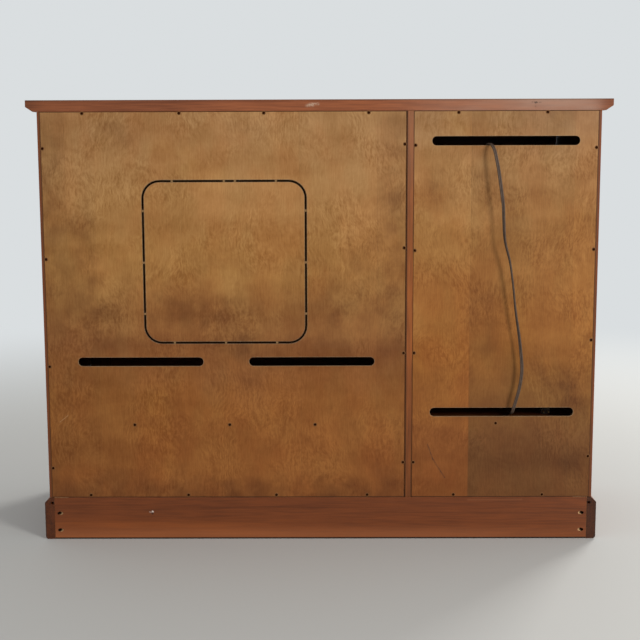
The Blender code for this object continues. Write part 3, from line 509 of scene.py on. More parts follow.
@dataclass(frozen=True)
class PlinthEndCherry(Cherry):
    """Cherry of a plinth side: its end at the back is dark along its edges, with painted shade in the
    cleat's slot.
    """

    outer_x: float = 0.7464
    bevel: float = 0.8485
    slot_x: Pair = (0.7236, 0.73)
    slot_z: float = 0.1005
    rim_dark_and_slot_shade: Colour = (0.028, 0.011, 0.006)

    def aged_and_lit(self, made: Surface, colour: Field) -> Field:
        """Darken the end's rim, paint shade in the slot, and shade the end that is turned from the window.

        Args:
            made: The surface.
            colour: The stained wood's colour.

        Returns:
            The aged colour.
        """
        x, y, z = made.place.parts()
        out = abs(x)
        behind = y.eased(BACK_Y - 0.0006, BACK_Y - 0.0001)
        inward = (self.outer_x - out).least((self.bevel - (out + z)) * math.sqrt(0.5))
        dark = inward.eased(0.0034, 0.0006, 0.0, 0.75)
        # Painted shade in the cleat's slot on each side.
        for side in (-1, 1):
            start, end = ((side * slot_x, self.slot_z) for slot_x in self.slot_x)
            dark = dark.most(made.mark(start, end, 0.0031, 0.0008))
        colour = behind.between(colour, colour * x.eased(-0.1, 0.1, 0.62, 0.96))
        return (dark * behind).between(colour, self.rim_dark_and_slot_shade)


@dataclass(frozen=True)
class PlinthCherry(Cherry):
    """The rear plinth board's cherry, with its scuffs, its warmer foot with painted floor light and a
    painted contact shadow, and its raw screw pockets with painted shade deep in them.
    """

    raw: Colour = (0.46, 0.275, 0.13)
    foot_warmth: Colour = (0.33, 0.088, 0.018)
    floor_lit: Colour = (0.3, 0.095, 0.032)
    foot_contact_shadow: Colour = (0.012, 0.006, 0.003)
    hole: Colour = (0.03, 0.012, 0.006)
    scuffs = (
        Scuff((-0.4, 0.108), (-0.545, 0.109), 0.0012, 0.002, (0.23, 0.075, 0.026), 0.4),
        Scuff((0.455, 0.0772), (0.4535, 0.076), 0.0009, 0.002, (0.66, 0.56, 0.48), 0.9),
        Scuff((0.456, 0.072), (0.4545, 0.0705), 0.0012, 0.002, (0.02, 0.009, 0.005), 0.75),
        Scuff((0.4625, 0.0755), (0.458, 0.0745), 0.0006, 0.002, (0.66, 0.56, 0.48), 0.3),
    )

    def aged_and_lit(self, made: Surface, colour: Field) -> Field:
        """Warm and brighten the foot, paint the floor's light on it and a contact shadow along it, and add
        the scuffs and the pockets with painted shade deep in them.

        Args:
            made: The surface.
            colour: The stained wood's colour.

        Returns:
            The aged colour.
        """
        x, y, z = made.place.parts()
        streaks = (made.place * (2.0, 1.0, 60.0)).noise(1.0)
        # Warmer, brighter streaks towards the foot.
        warm = z.eased(0.07, 0.012) * x.eased(-0.2, 0.4) * streaks.eased(0.35, 0.65, 0.2, 0.75)
        colour = warm.between(colour, self.foot_warmth)
        bounce = z.eased(0.045, 0.008) * x.eased(-0.75, -0.3, 0.2, 0.6)
        colour = bounce.between(colour, self.floor_lit)
        # Painted contact shadow along the foot.
        colour = z.eased(0.005, 0.0034, 0.0, 0.96).between(colour, self.foot_contact_shadow)
        colour = made.scuffed(colour, self.scuffs)
        # Raw wood in the pockets, with painted shade deeper in.
        inside = y.eased(BACK_Y - 0.0002, BACK_Y - 0.0008) * abs(x).eased(0.68, 0.685)
        pocket = y.eased(BACK_Y - 0.0058, BACK_Y - 0.0015).between(self.hole, self.raw)
        return inside.between(colour, pocket)


@dataclass(frozen=True)
class TopCherry(Cherry):
    """The top's cherry: polished more than the case, with a painted sheen and knocks on its rear edge."""

    sheen_haze: Colour = (0.32, 0.198, 0.143)
    scuffs = (
        Scuff((0.0315, 1.1608), (0.0155, 1.1614), 0.0012, 0.0045, (0.54, 0.4, 0.29), 0.6),
        Scuff((0.0235, 1.1642), (0.0025, 1.1646), 0.0008, 0.0045, (0.54, 0.4, 0.29), 0.55),
        Scuff((-0.5502, 1.1674), (-0.5745, 1.1668), 0.0003, 0.0016, (0.02, 0.011, 0.008), 0.75),
        Scuff((-0.559, 1.1668), (-0.5625, 1.1662), 0.001, 0.0022, (0.02, 0.011, 0.008), 0.9),
        Scuff((-0.56, 1.165), (-0.5597, 1.1555), 0.0004, 0.003, (0.02, 0.011, 0.008), 0.3),
    )

    def aged_and_lit(self, made: Surface, colour: Field) -> Field:
        """Add the painted sheen, the darker crest and tips, and the knocks.

        Args:
            made: The surface.
            colour: The stained wood's colour.

        Returns:
            The aged colour.
        """
        x, y, z = made.place.parts()
        behind = y.eased(0.278, 0.2793)
        # Painted sheen on the rear edge, growing towards the window side.
        cloudy = (made.place * (3.0, 1.0, 12.0)).noise(2.0).eased(0.2, 0.7, 0.35, 0.8)
        sheen_haze = x.eased(-0.1, -0.62) * cloudy * x.eased(-0.757, -0.7) * behind
        colour = sheen_haze.between(colour, self.sheen_haze) * x.eased(0.05, 0.5, 1.12, 0.93)
        colour = colour * (1.0 - z.eased(1.1722, 1.1745, 0.0, 0.38) * behind)
        colour = colour * abs(x).eased(0.71, 0.755, 1.0, 0.78)
        return made.scuffed(colour, self.scuffs, made.place.noise(400.0).eased(0.35, 0.6))


@dataclass(frozen=True)
class BirchBack:
    """Golden stained birch plywood of one back panel, in strips of veneer with the grain upright.

    Slots and smudges have the X and Z of their ends. A smudge of negative strength is bleached.
    """

    name: str
    tones: tuple[tuple[float, Colour], ...]
    strips: tuple[Pair, ...]
    slots: tuple[tuple[Pair, Pair], ...]
    smudges: tuple[tuple[Pair, Pair, float], ...]
    scratches: tuple[Scuff, ...]
    dull: Point
    tabs_at: Pair | None = None
    low_z: float = 0.1169
    high_z: float = 1.1454
    front_y: float = 0.2735
    thickness: float = 0.006
    slot_half: float = 0.012
    kerf_outside: float = 0.21575
    kerf: float = 0.0045
    corner: float = 0.047
    frayed: Colour = (0.4, 0.31, 0.2)
    kerf_shade: Colour = (0.012, 0.003, 0.001)
    sawn: Colour = (0.3, 0.17, 0.07)
    seam: Colour = (0.12, 0.055, 0.02)
    edge_shadow: Colour = (0.045, 0.016, 0.006)
    edge_stain: Colour = (0.22, 0.075, 0.016)
    kerf_wall_shade: Colour = (0.006, 0.002, 0.001)
    plies: tuple[Colour, Colour] = ((0.36, 0.245, 0.13), (0.2, 0.115, 0.052))
    inside: tuple[Colour, Colour] = ((0.2, 0.11, 0.047), (0.31, 0.185, 0.088))

    def material(self, effects: Effects) -> Material:
        """Make the material.

        Args:
            effects: The shared effects.

        Returns:
            The material.
        """
        made = Surface.new(self.name, effects, Specular_IOR_Level=0.2)
        place = made.place
        fibre = (place * (1.0, 1.0, 0.05)).noise(480.0, 4.0, 0.6)
        rough = fibre.eased(0.2, 0.8, 0.56, 0.43)
        colour = self._stained(made, self._veneer(made, fibre))
        fray = place.noise(210.0).eased(0.3, 0.7, 0.1, 0.55)
        rims = [Scuff(*ends, self.slot_half, 0.0016, self.frayed) for ends in self.slots]
        colour = made.scuffed(colour, rims, fray)
        if self.tabs_at is not None:
            away = self._from_saw_line(made)
            # Painted shade in and beside the saw line, kept from shining by full roughness.
            colour = away.eased(0.0014, 0.0007, 0.0, 0.9).between(colour, self.kerf_shade)
            colour = (away.eased(0.0034, 0.0014, 0.0, 0.32) * fray).between(colour, self.frayed)
            colour = away.eased(0.0004, -0.0002, 0.0, 0.75).between(colour, self.sawn)
            rough = rough.most(away.eased(0.0007, 0.0015, 1.0, 0.0))
        colour = made.scuffed(colour, self.scratches, place.noise(90.0).eased(0.3, 0.65, 0.3, 0.85))
        facing = made.normal.parts()[1]
        colour = facing.eased(0.5, 0.2).between(colour, self._edge(made))
        thin_stain = fibre.eased(0.25, 0.75).between(*self.inside)
        colour = facing.eased(-0.5, -0.8).between(colour, thin_stain)
        return made.put(Base_Color=colour, Roughness=rough, Normal=fibre.bump(0.14, 0.0003))

    def _veneer(self, made: Surface, fibre: Field) -> Field:
        """Draw the strips of veneer, with their tones, seams, curl and rings.

        Args:
            made: The surface.
            fibre: The fine upright fibres.

        Returns:
            The colour.
        """
        place = made.place
        x, _, z = place.parts()
        cloud = made.effect(made.effects.blotches, Vector=place, Scale=3.6)["Cloud"]
        up = (z - self.low_z) / (self.high_z - self.low_z) + (cloud - 0.5) * 0.1
        first = self.strips[0][0]
        width = self.strips[-1][0] - first
        shades = [((edge - first) / width, (tone / 2,) * 3) for edge, tone in self.strips[:-1]]
        strip = ((x - first) / width).clamped().ramp(shades, steps=True) * 2.0
        colour = up.clamped().ramp(self.tones) * strip
        for edge, _ in self.strips[1:-1]:
            colour = abs(x - edge).eased(0.0011, 0.0003, 0.0, 0.16).between(colour, self.seam)
        warp = place.node("ShaderNodeTexNoise", {"Vector": place, "Scale": 6.5, "Detail": 3.0}, "Color")
        bent = place + warp * (0.09, 0.0, 0.09)
        curl = (bent * (1.0, 1.0, 0.4)).noise(230.0, 3.0, 0.6)
        whorl = ((bent * (1.0, 1.0, 0.42)).noise(4.4, 2.0) * 190.0).math("SINE")
        swirl = curl.eased(0.3, 0.7, -0.3, 0.3) + whorl * 0.11
        ripple = (place * (0.22, 1.0, 1.0)).noise(15.0, 4.0)
        tone = swirl * place.noise(8.0).eased(0.42, 0.64, 0.25, 1.0) + fibre.eased(0.25, 0.75, 0.33, 0.67)
        tone = tone + ripple.eased(0.25, 0.75, -0.17, 0.17) + cloud.eased(0.0, 1.0, -0.2, 0.2)
        colour = tone.clamped().between(colour * (0.73, 0.62, 0.46), colour * (1.25, 1.31, 1.36))
        hue = (place * (1.0, 1.0, 0.55)).noise(13.0).eased(0.36, 0.64)
        return hue.between(colour * (1.02, 0.965, 0.89), colour * (0.995, 1.015, 0.97))

    def _stained(self, made: Surface, colour: Field) -> Field:
        """Add the smudges, the dull strip and the painted shadow line round the panel.

        Args:
            made: The surface.
            colour: The veneer's colour.

        Returns:
            The stained colour.
        """
        x, _, z = made.place.parts()
        uneven = made.place.noise(22.0, 4.0)
        for start, end, strength in self.smudges:
            most = abs(strength)
            mask = made.mark(start, end, 0.008, 0.06).eased(0.0, 1.0)
            change = (0.45, 0.34, 0.26) if strength > 0 else (1.6, 1.9, 1.9)
            share = mask * uneven.eased(0.3, 0.7, 0.3 * most, 1.3 * most)
            colour = share.between(colour, colour * change)
        edge, reach, strength = self.dull
        shade = x.eased(edge, edge + reach) * z.eased(0.62, 0.3, 0.0, strength)
        colour = shade.between(colour, colour * (0.63, 0.83, 1.12))
        # Painted shadow line along the panel's edges, narrow at its sides.
        return self._inward(made).eased(0.0026, 0.0008, 0.0, 0.78).between(colour, self.edge_shadow)

    def _inward(self, made: Surface) -> Field:
        """Measure from the panel's edges.

        Args:
            made: The surface.

        Returns:
            The distance from its foot, or a few times that from its other edges.
        """
        x, _, z = made.place.parts()
        beside = (x - self.strips[0][0]).least(self.strips[-1][0] - x)
        return (z - self.low_z).least((self.high_z - z) * 2.2).least(beside * 4.0)

    def _from_saw_line(self, made: Surface) -> Field:
        """Measure from the sides of the saw line round the knock-out.

        Args:
            made: The surface.

        Returns:
            The distance, below 0 inside the line.
        """
        x, _, z = made.place.parts()
        straight = self.kerf_outside - self.corner
        wide, high = (abs(part - middle) - straight for part, middle in zip((x, z), self.tabs_at))
        outside = wide.most().joined(high.most(), 0.0).length()
        middle = abs(outside + wide.most(high).least() - (self.corner - self.kerf / 2))
        return middle - self.kerf / 2

    def _edge(self, made: Surface) -> Field:
        """Colour the plywood's edge: layers by turns, stained round the panel, with painted shade on the
        walls of the saw line.

        Args:
            made: The surface.

        Returns:
            The colour.
        """
        _, y, z = made.place.parts()
        layers = [(0.2 * index, self.plies[index % 2]) for index in range(5)]
        through = ((y - self.front_y) / self.thickness).clamped()
        colour = through.ramp(layers, steps=True) * made.place.noise(180.0).eased(0.3, 0.7, 0.7, 1.05)
        colour = self._inward(made).eased(0.002, 0.001, 0.0, 0.85).between(colour, self.edge_stain)
        if self.tabs_at is None:
            return colour
        # Painted shade on the walls of the saw line.
        return abs(z - self.tabs_at[1]).eased(0.235, 0.225, 0.0, 0.99).between(colour, self.kerf_wall_shade)


TV_BACK = BirchBack(
    "birch_tv_back",
    tones=(
        (0.0, (0.18, 0.062, 0.0157)),
        (0.07, (0.235, 0.081, 0.0183)),
        (0.25, (0.247, 0.092, 0.0207)),
        (0.4, (0.222, 0.087, 0.0258)),
        (0.62, (0.343, 0.164, 0.049)),
        (1.0, (0.33, 0.169, 0.068)),
    ),
    strips=(
        (-0.2262, 0.94), (-0.152, 0.985), (0.05, 1.02), (0.362, 1.0), (0.588, 0.945), (0.664, 0.915),
        (0.7244, 1.0),
    ),
    slots=tuple(((x - 0.155, 0.4885), (x + 0.155, 0.4885)) for x in (0.0214, 0.4769)),
    smudges=(
        ((0.71, 1.12), (0.71, 0.7), 0.4), ((-0.195, 0.9), (-0.195, 0.68), 0.4),
        ((-0.11, 0.8), (-0.12, 0.66), 0.32), ((0.63, 0.86), (0.61, 0.66), 0.38),
        ((0.43, 0.628), (0.2, 0.634), 0.4), ((-0.035, 0.64), (-0.055, 0.62), 0.35),
        ((0.56, 0.635), (0.585, 0.625), 0.28), ((0.55, 1.093), (0.505, 1.09), 0.25),
        ((0.2, 1.095), (0.18, 1.085), 0.25), ((0.19, 0.525), (-0.19, 0.52), 0.25),
        ((-0.2, 0.6), (-0.04, 0.6), 0.35), ((0.2, 0.54), (0.19, 0.44), 0.3),
        ((0.66, 0.6), (0.56, 0.54), 0.25), ((-0.2, 1.12), (-0.2, 0.95), 0.3),
        ((-0.2, 0.7), (-0.19, 0.58), 0.2), ((0.58, 0.72), (0.55, 0.58), 0.15),
        ((0.29, 0.56), (0.29, 0.43), 0.25), ((0.3, 0.135), (-0.1, 0.135), 0.5),
        ((0.44, 0.38), (0.43, 0.22), -0.25), ((0.4, 0.7), (0.02, 0.7), -0.16),
        ((0.4, 1.04), (0.28, 0.97), -0.14),
    ),
    scratches=(Scuff((0.698, 0.325), (0.676, 0.343), 0.0005, 0.001, (0.36, 0.2, 0.09)),),
    dull=(0.4, 0.3, 0.1),
    tabs_at=(0.2491, 0.7535),
)

MEDIA_BACK = BirchBack(
    "birch_media_back",
    tones=(
        (0.0, (0.185, 0.058, 0.0126)),
        (0.18, (0.197, 0.0628, 0.0138)),
        (0.36, (0.277, 0.104, 0.0207)),
        (0.7, (0.288, 0.129, 0.036)),
        (0.88, (0.309, 0.154, 0.057)),
        (1.0, (0.295, 0.155, 0.069)),
    ),
    strips=((-0.7244, 1.01), (-0.665, 0.955), (-0.5915, 0.93), (-0.398, 1.05), (-0.2472, 1.0)),
    slots=tuple(((-0.6658, z), (-0.3058, z)) for z in (1.069, 0.3505)),
    smudges=(
        ((-0.305, 0.95), (-0.315, 0.93), 0.25), ((-0.43, 0.656), (-0.435, 0.54), 0.35),
        ((-0.68, 0.46), (-0.68, 0.43), 0.3), ((-0.67, 0.225), (-0.675, 0.205), 0.3),
        ((-0.6, 1.13), (-0.7, 1.12), 0.3), ((-0.6, 0.47), (-0.68, 0.36), 0.4),
        ((-0.44, 0.98), (-0.5, 0.86), 0.22), ((-0.36, 1.125), (-0.46, 1.125), -0.25),
        ((-0.52, 0.62), (-0.52, 0.51), -0.16), ((-0.68, 0.84), (-0.68, 0.7), -0.12),
    ),
    scratches=(
        Scuff((-0.289, 0.262), (-0.303, 0.222), 0.0008, 0.0016, (0.085, 0.032, 0.014)),
        Scuff((-0.303, 0.222), (-0.336, 0.17), 0.0009, 0.0018, (0.075, 0.028, 0.012)),
    ),
    dull=(-0.397, -0.003, 0.72),
)


@dataclass(frozen=True)
class Maple:
    """Pale drawer maple under thin lacquer."""

    name: str
    grain: Grain
    dark: Colour = (0.42, 0.265, 0.135)
    light: Colour = (0.62, 0.45, 0.265)

    def material(self, effects: Effects) -> Material:
        """Make the material.

        Args:
            effects: The shared effects.

        Returns:
            The material.
        """
        made = Surface.new(self.name, effects)
        turned, end_on = made.along_grain(self.grain, 3.1)
        grain = made.effect(effects.grain, Vector=turned, Fibres=300.0, Rings=4.0)
        fibre = grain["Fibre"]
        cloud = made.effect(effects.blotches, Vector=turned, Scale=6.0)["Cloud"]
        tone = (grain["Figure"] * 0.22 + cloud * 0.4 + fibre * 0.4).clamped()
        colour = tone.between(self.dark, self.light) * end_on.eased(0.6, 0.9, 1.0, 0.8)
        rough = fibre.eased(0.2, 0.8, 0.58, 0.46)
        return made.put(Base_Color=colour, Roughness=rough, Normal=fibre.bump(0.1, 0.0003))


@dataclass(frozen=True)
class Mottled:
    """A plain stuff with cloudy colour and fine relief: brass, plastic, black steel or vinyl."""

    name: str
    dark: Colour
    light: Colour
    rough: Pair
    shine: float = 0.4
    scale: float = 60.0
    metallic: float = 0.0

    def material(self, effects: Effects) -> Material:
        """Make the material.

        Args:
            effects: The shared effects.

        Returns:
            The material.
        """
        made = Surface.new(self.name, effects, Metallic=self.metallic, Specular_IOR_Level=self.shine)
        cloud = made.effect(effects.blotches, Vector=made.place, Scale=self.scale)["Cloud"]
        fine = made.place.noise(900.0)
        colour = (cloud * 0.7 + fine * 0.3).between(self.dark, self.light)
        rough = cloud.eased(0.0, 1.0, self.rough[1], self.rough[0])
        return made.put(Base_Color=colour, Roughness=rough, Normal=fine.bump(0.06, 0.0002))


PLAIN_STUFFS = (
    Mottled("brass", (0.36, 0.225, 0.08), (0.66, 0.46, 0.19), (0.24, 0.46), scale=45.0, metallic=1.0),
    Mottled("blackened_steel", (0.016, 0.003, 0.0005), (0.034, 0.009, 0.002), (0.55, 0.75), 0.01, 140.0),
    Mottled("brown_moulding", (0.038, 0.021, 0.013), (0.078, 0.046, 0.029), (0.36, 0.52), scale=70.0),
    Mottled("aged_ivory", (0.46, 0.37, 0.24), (0.6, 0.5, 0.35), (0.36, 0.5)),
    Mottled("grey_vinyl", (0.057, 0.036, 0.025), (0.104, 0.069, 0.05), (0.48, 0.62), 0.22, 30.0),
    Mottled("tie_paper", (0.045, 0.04, 0.036), (0.085, 0.075, 0.066), (0.6, 0.8)),
    Mottled("pressed_birch", (0.12, 0.05, 0.016), (0.21, 0.096, 0.034), (0.55, 0.7), 0.15, 160.0),
)


@dataclass(frozen=True)
class TurnedCherry:
    """Cherry turned on a lathe for the knobs: end grain on the face, rubbed bright round the rim."""

    name: str
    front_y: float = -0.25
    dark: Colour = (0.085, 0.026, 0.011)
    light: Colour = (0.2, 0.066, 0.027)
    rubbed: Colour = (0.27, 0.105, 0.046)

    def material(self, effects: Effects) -> Material:
        """Make the material.

        Args:
            effects: The shared effects.

        Returns:
            The material.
        """
        polish = {"Specular_IOR_Level": 0.35, "Coat_Weight": 0.12, "Coat_Roughness": 0.25}
        made = Surface.new(self.name, effects, **polish)
        turned, _ = made.along_grain(Grain.ALONG_Y, 5.3)
        grain = made.effect(effects.grain, Vector=turned, Fibres=420.0, Rings=30.0)
        fibre = grain["Fibre"]
        tone = (grain["Figure"] * 0.45 + fibre * 0.55).clamped()
        out = made.place.parts()[1].eased(self.front_y - 0.014, self.front_y - 0.02)
        rubbed = out * made.place.noise(70.0).eased(0.35, 0.65, 0.0, 0.4)
        colour = rubbed.between(tone.between(self.dark, self.light), self.rubbed)
        rough = fibre.eased(0.2, 0.8, 0.36, 0.26)
        return made.put(Base_Color=colour, Roughness=rough, Normal=fibre.bump(0.08, 0.0003))


def ring(count: int, power: float = 1.0) -> list[Pair]:
    """Draw points round a circle of radius 1.

    Args:
        count: How many there are.
        power: What draws the circle towards a square, where it is below 1.

    Returns:
        The two parts of each point.
    """
    turns = [2 * math.pi * step / count for step in range(count)]
    circle = [(math.cos(turn), math.sin(turn)) for turn in turns]
    return [tuple(math.copysign(abs(part) ** power, part) for part in point) for point in circle]


def turned_rings(profile: Iterable[Pair], sides: int = 16) -> list[list[Point]]:
    """Return rings of points about Z, from radii and heights from the bottom up."""
    circle = ring(sides)
    return [[(radius * x, radius * y, height) for x, y in circle] for radius, height in profile]


def add_rings(
    shape: Shape,
    rings: Iterable[Iterable[Point]],
    caps: tuple[bool, bool] = (True, True),
    loop: bool = False,
) -> list[list[Vert]]:
    """Join rings of points, in order, with faces.

    Args:
        shape: The shape that takes them.
        rings: The rings, each with as many points as the others.
        caps: Whether the first and the last ring are closed.
        loop: Whether the last ring joins the first instead.

    Returns:
        The rings' vertices.
    """
    made = [[shape.verts.new(point) for point in points] for points in rings]
    for first, second in zip(made, made[1:] + made[:1] if loop else made[1:]):
        for index in range(len(first)):
            after = (index + 1) % len(first)
            shape.faces.new((first[index], first[after], second[after], second[index]))
    for verts, closed in zip((made[0], made[-1]), caps):
        if closed and not loop:
            shape.faces.new(verts)
    return made


def fill(shape: Shape, loops: list[list[Vert]]) -> None:
    """Fill the flat area between an outline and the loops inside it."""
    edges = [shape.edges.get((loop[step - 1], loop[step])) for loop in loops for step in range(len(loop))]
    bmesh.ops.triangle_fill(shape, edges=edges, use_beauty=True, use_dissolve=False)


def add_plate(shape: Shape, loops: list[list[Pair]], sides: Pair) -> None:
    """Add a flat plate that faces along X, with holes through it.

    Args:
        shape: The shape that takes it.
        loops: The Y and Z of its outline, and then of its holes.
        sides: The X of its two faces.
    """
    walls = []
    for loop in loops:
        rings = [[(x, *point) for point in loop] for x in sides]
        walls.append(add_rings(shape, rings, (False, False)))
    for side in range(len(sides)):
        fill(shape, [wall[side] for wall in walls])


def add_box(shape: Shape, low: Point, high: Point, ease: float, segments: int = 2) -> Shape:
    """Add a box with rounded edges.

    Args:
        shape: The shape that takes it.
        low: Its lowest corner.
        high: Its highest corner.
        ease: The radius of its edges.
        segments: The faces across each edge.

    Returns:
        The shape.
    """
    size = Vector(high) - Vector(low)
    place = Matrix.Translation((Vector(high) + Vector(low)) / 2) @ Matrix.Diagonal((*size, 1.0))
    corners = bmesh.ops.create_cube(shape, size=1.0, matrix=place)["verts"]
    edges = list(dict.fromkeys(edge for corner in corners for edge in corner.link_edges))
    bmesh.ops.bevel(shape, geom=edges, offset=ease, segments=segments, profile=0.5, affect="EDGES")
    return shape


def new_mesh(shape: Shape, smooth_below: float | None = None) -> Mesh:
    """Turn a finished shape into a mesh.

    Args:
        shape: The shape, which is freed.
        smooth_below: The angle in degrees under which its edges are shaded smooth, if any.

    Returns:
        The mesh.
    """
    bmesh.ops.recalc_face_normals(shape, faces=shape.faces)
    mesh = bpy.data.meshes.new("piece")
    shape.to_mesh(mesh)
    shape.free()
    if smooth_below is not None:
        mesh.shade_smooth()
        mesh.set_sharp_from_angle(angle=math.radians(smooth_below))
    return mesh


def add_piece(name: str, mesh: Mesh, finish: Material, body: str) -> Object:
    """Add a piece that rides on a body.

    Args:
        name: The piece's name.
        mesh: Its mesh, with its place in it.
        finish: Its material, where the mesh has none.
        body: The body that it moves with.

    Returns:
        The piece.
    """
    mesh.name = name
    if not mesh.materials:
        mesh.materials.append(finish)
    piece = bpy.data.objects.new(name, mesh)
    bpy.context.scene.collection.objects.link(piece)
    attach(piece, body)
    LOG.info("piece %s on %s: %d faces", name, body, len(mesh.polygons))
    return piece


@dataclass(frozen=True)
class Placing:
    """Where a small part goes and which way it faces."""

    place: Point
    facing: Point


class SmallParts:
    """Lays copies of a small part at many places with one Geometry Nodes tree."""

    inputs = {"Part": "Object", "Size": "Float", "Turn": "Float", "Seed": "Int", "Finish": "Material"}

    def __init__(self) -> None:
        """Build the tree."""
        tree = bpy.data.node_groups.new("laid_small_parts", "GeometryNodeTree")
        for label, kind in {"Geometry": "Geometry", **self.inputs}.items():
            tree.interface.new_socket(label, in_out="INPUT", socket_type=f"NodeSocket{kind}")
        tree.interface.new_socket("Geometry", in_out="OUTPUT", socket_type="NodeSocketGeometry")
        given = add_node(tree, "NodeGroupInput").outputs
        part = add_node(tree, "GeometryNodeObjectInfo", {"Object": given["Part"]})
        named = {"Name": "facing"}
        facing = add_node(tree, "GeometryNodeInputNamedAttribute", named, data_type="FLOAT_VECTOR")
        towards = {"Vector": facing.outputs["Attribute"]}
        aim = add_node(tree, "FunctionNodeAlignRotationToVector", towards, axis="Z")
        spin = add_node(tree, "FunctionNodeRandomValue", {"Seed": given["Seed"]}, data_type="FLOAT")
        turn = Field(tree, spin.outputs[1]) * Field(tree, given["Turn"])
        roll = add_node(tree, "FunctionNodeAxisAngleToRotation", {"Axis": (0.0, 0.0, 1.0), "Angle": turn})
        turns = {0: aim.outputs[0], 1: roll.outputs[0]}
        aimed = add_node(tree, "FunctionNodeRotateRotation", turns, rotation_space="LOCAL")
        copies = {"Points": given["Geometry"], "Instance": part.outputs["Geometry"]}
        copies |= {"Rotation": aimed.outputs[0], "Scale": given["Size"]}
        laid = add_node(tree, "GeometryNodeInstanceOnPoints", copies)
        real = add_node(tree, "GeometryNodeRealizeInstances", {"Geometry": laid.outputs["Instances"]})
        dress = {"Geometry": real.outputs["Geometry"], "Material": given["Finish"]}
        dressed = add_node(tree, "GeometryNodeSetMaterial", dress)
        add_node(tree, "NodeGroupOutput", {"Geometry": dressed.outputs["Geometry"]})
        self.tree = tree

    def lay(self, part: Mesh, places: list[Placing], finish: Material, turn: float = 0.0) -> Mesh:
        """Lay the copies.

        Args:
            part: The part, standing on the origin and facing Z.
            places: Where the copies go.
            finish: Their material.
            turn: The largest random turn about the way each faces, in radians.

        Returns:
            One plain mesh of them all, with their places in it.
        """
        points = bpy.data.meshes.new("places")
        points.from_pydata([item.place for item in places], [], [])
        facing = points.attributes.new("facing", "FLOAT_VECTOR", "POINT")
        facing.data.foreach_set("vector", [value for item in places for value in item.facing])
        pattern = bpy.data.objects.new("part", part)
        holder = bpy.data.objects.new("places", points)
        bpy.context.scene.collection.objects.link(holder)
        layer = holder.modifiers.new("laid", "NODES")
        layer.node_group = self.tree
        values = {"Part": pattern, "Size": 1.0, "Turn": turn, "Seed": 7, "Finish": finish}
        for item in self.tree.interface.items_tree:
            if item.name in values:
                layer[item.identifier] = values[item.name]
        holder.update_tag()
        bpy.context.view_layer.update()
        graph = bpy.context.evaluated_depsgraph_get()
        made = bpy.data.meshes.new_from_object(holder.evaluated_get(graph))
        for leftover in (holder, pattern):
            bpy.data.objects.remove(leftover, do_unlink=True)
        return made


@dataclass
class ScrewHead:
    """A pan-headed screw's head with a cross recess; its sizes are shares of its radius and height."""

    radius: float
    height: float
    sides: int = 16
    flat: float = 0.66
    recess: float = 0.5
    arm: float = 0.13
    depth: float = 0.55
    taper: float = 0.75

    def mesh(self) -> Mesh:
        """Build the head, standing on the origin and facing Z.

        Returns:
            The mesh.
        """
        shape = bmesh.new()
        shares = ((1.0, 0.0), (1.0, 0.3), (0.9, 0.72), (self.flat, 1.0))
        profile = [(share * self.radius, rise * self.height) for share, rise in shares]
        outside = add_rings(shape, turned_rings(profile, self.sides), (True, False))
        reach = self.recess * self.radius
        half = self.arm * self.radius
        cross = []
        for cosine, sine in ((1, 0), (0, 1), (-1, 0), (0, -1)):
            for x, y in ((reach, -half), (reach, half), (half, half)):
                cross.append((cosine * x - sine * y, sine * x + cosine * y))
        ends = ((1.0, self.height), (self.taper, self.height * (1 - self.depth)))
        pocket = [[(share * x, share * y, z) for x, y in cross] for share, z in ends]
        rim = add_rings(shape, pocket, (False, True))[0]
        fill(shape, [outside[-1], rim])
        return new_mesh(shape, 35.0)


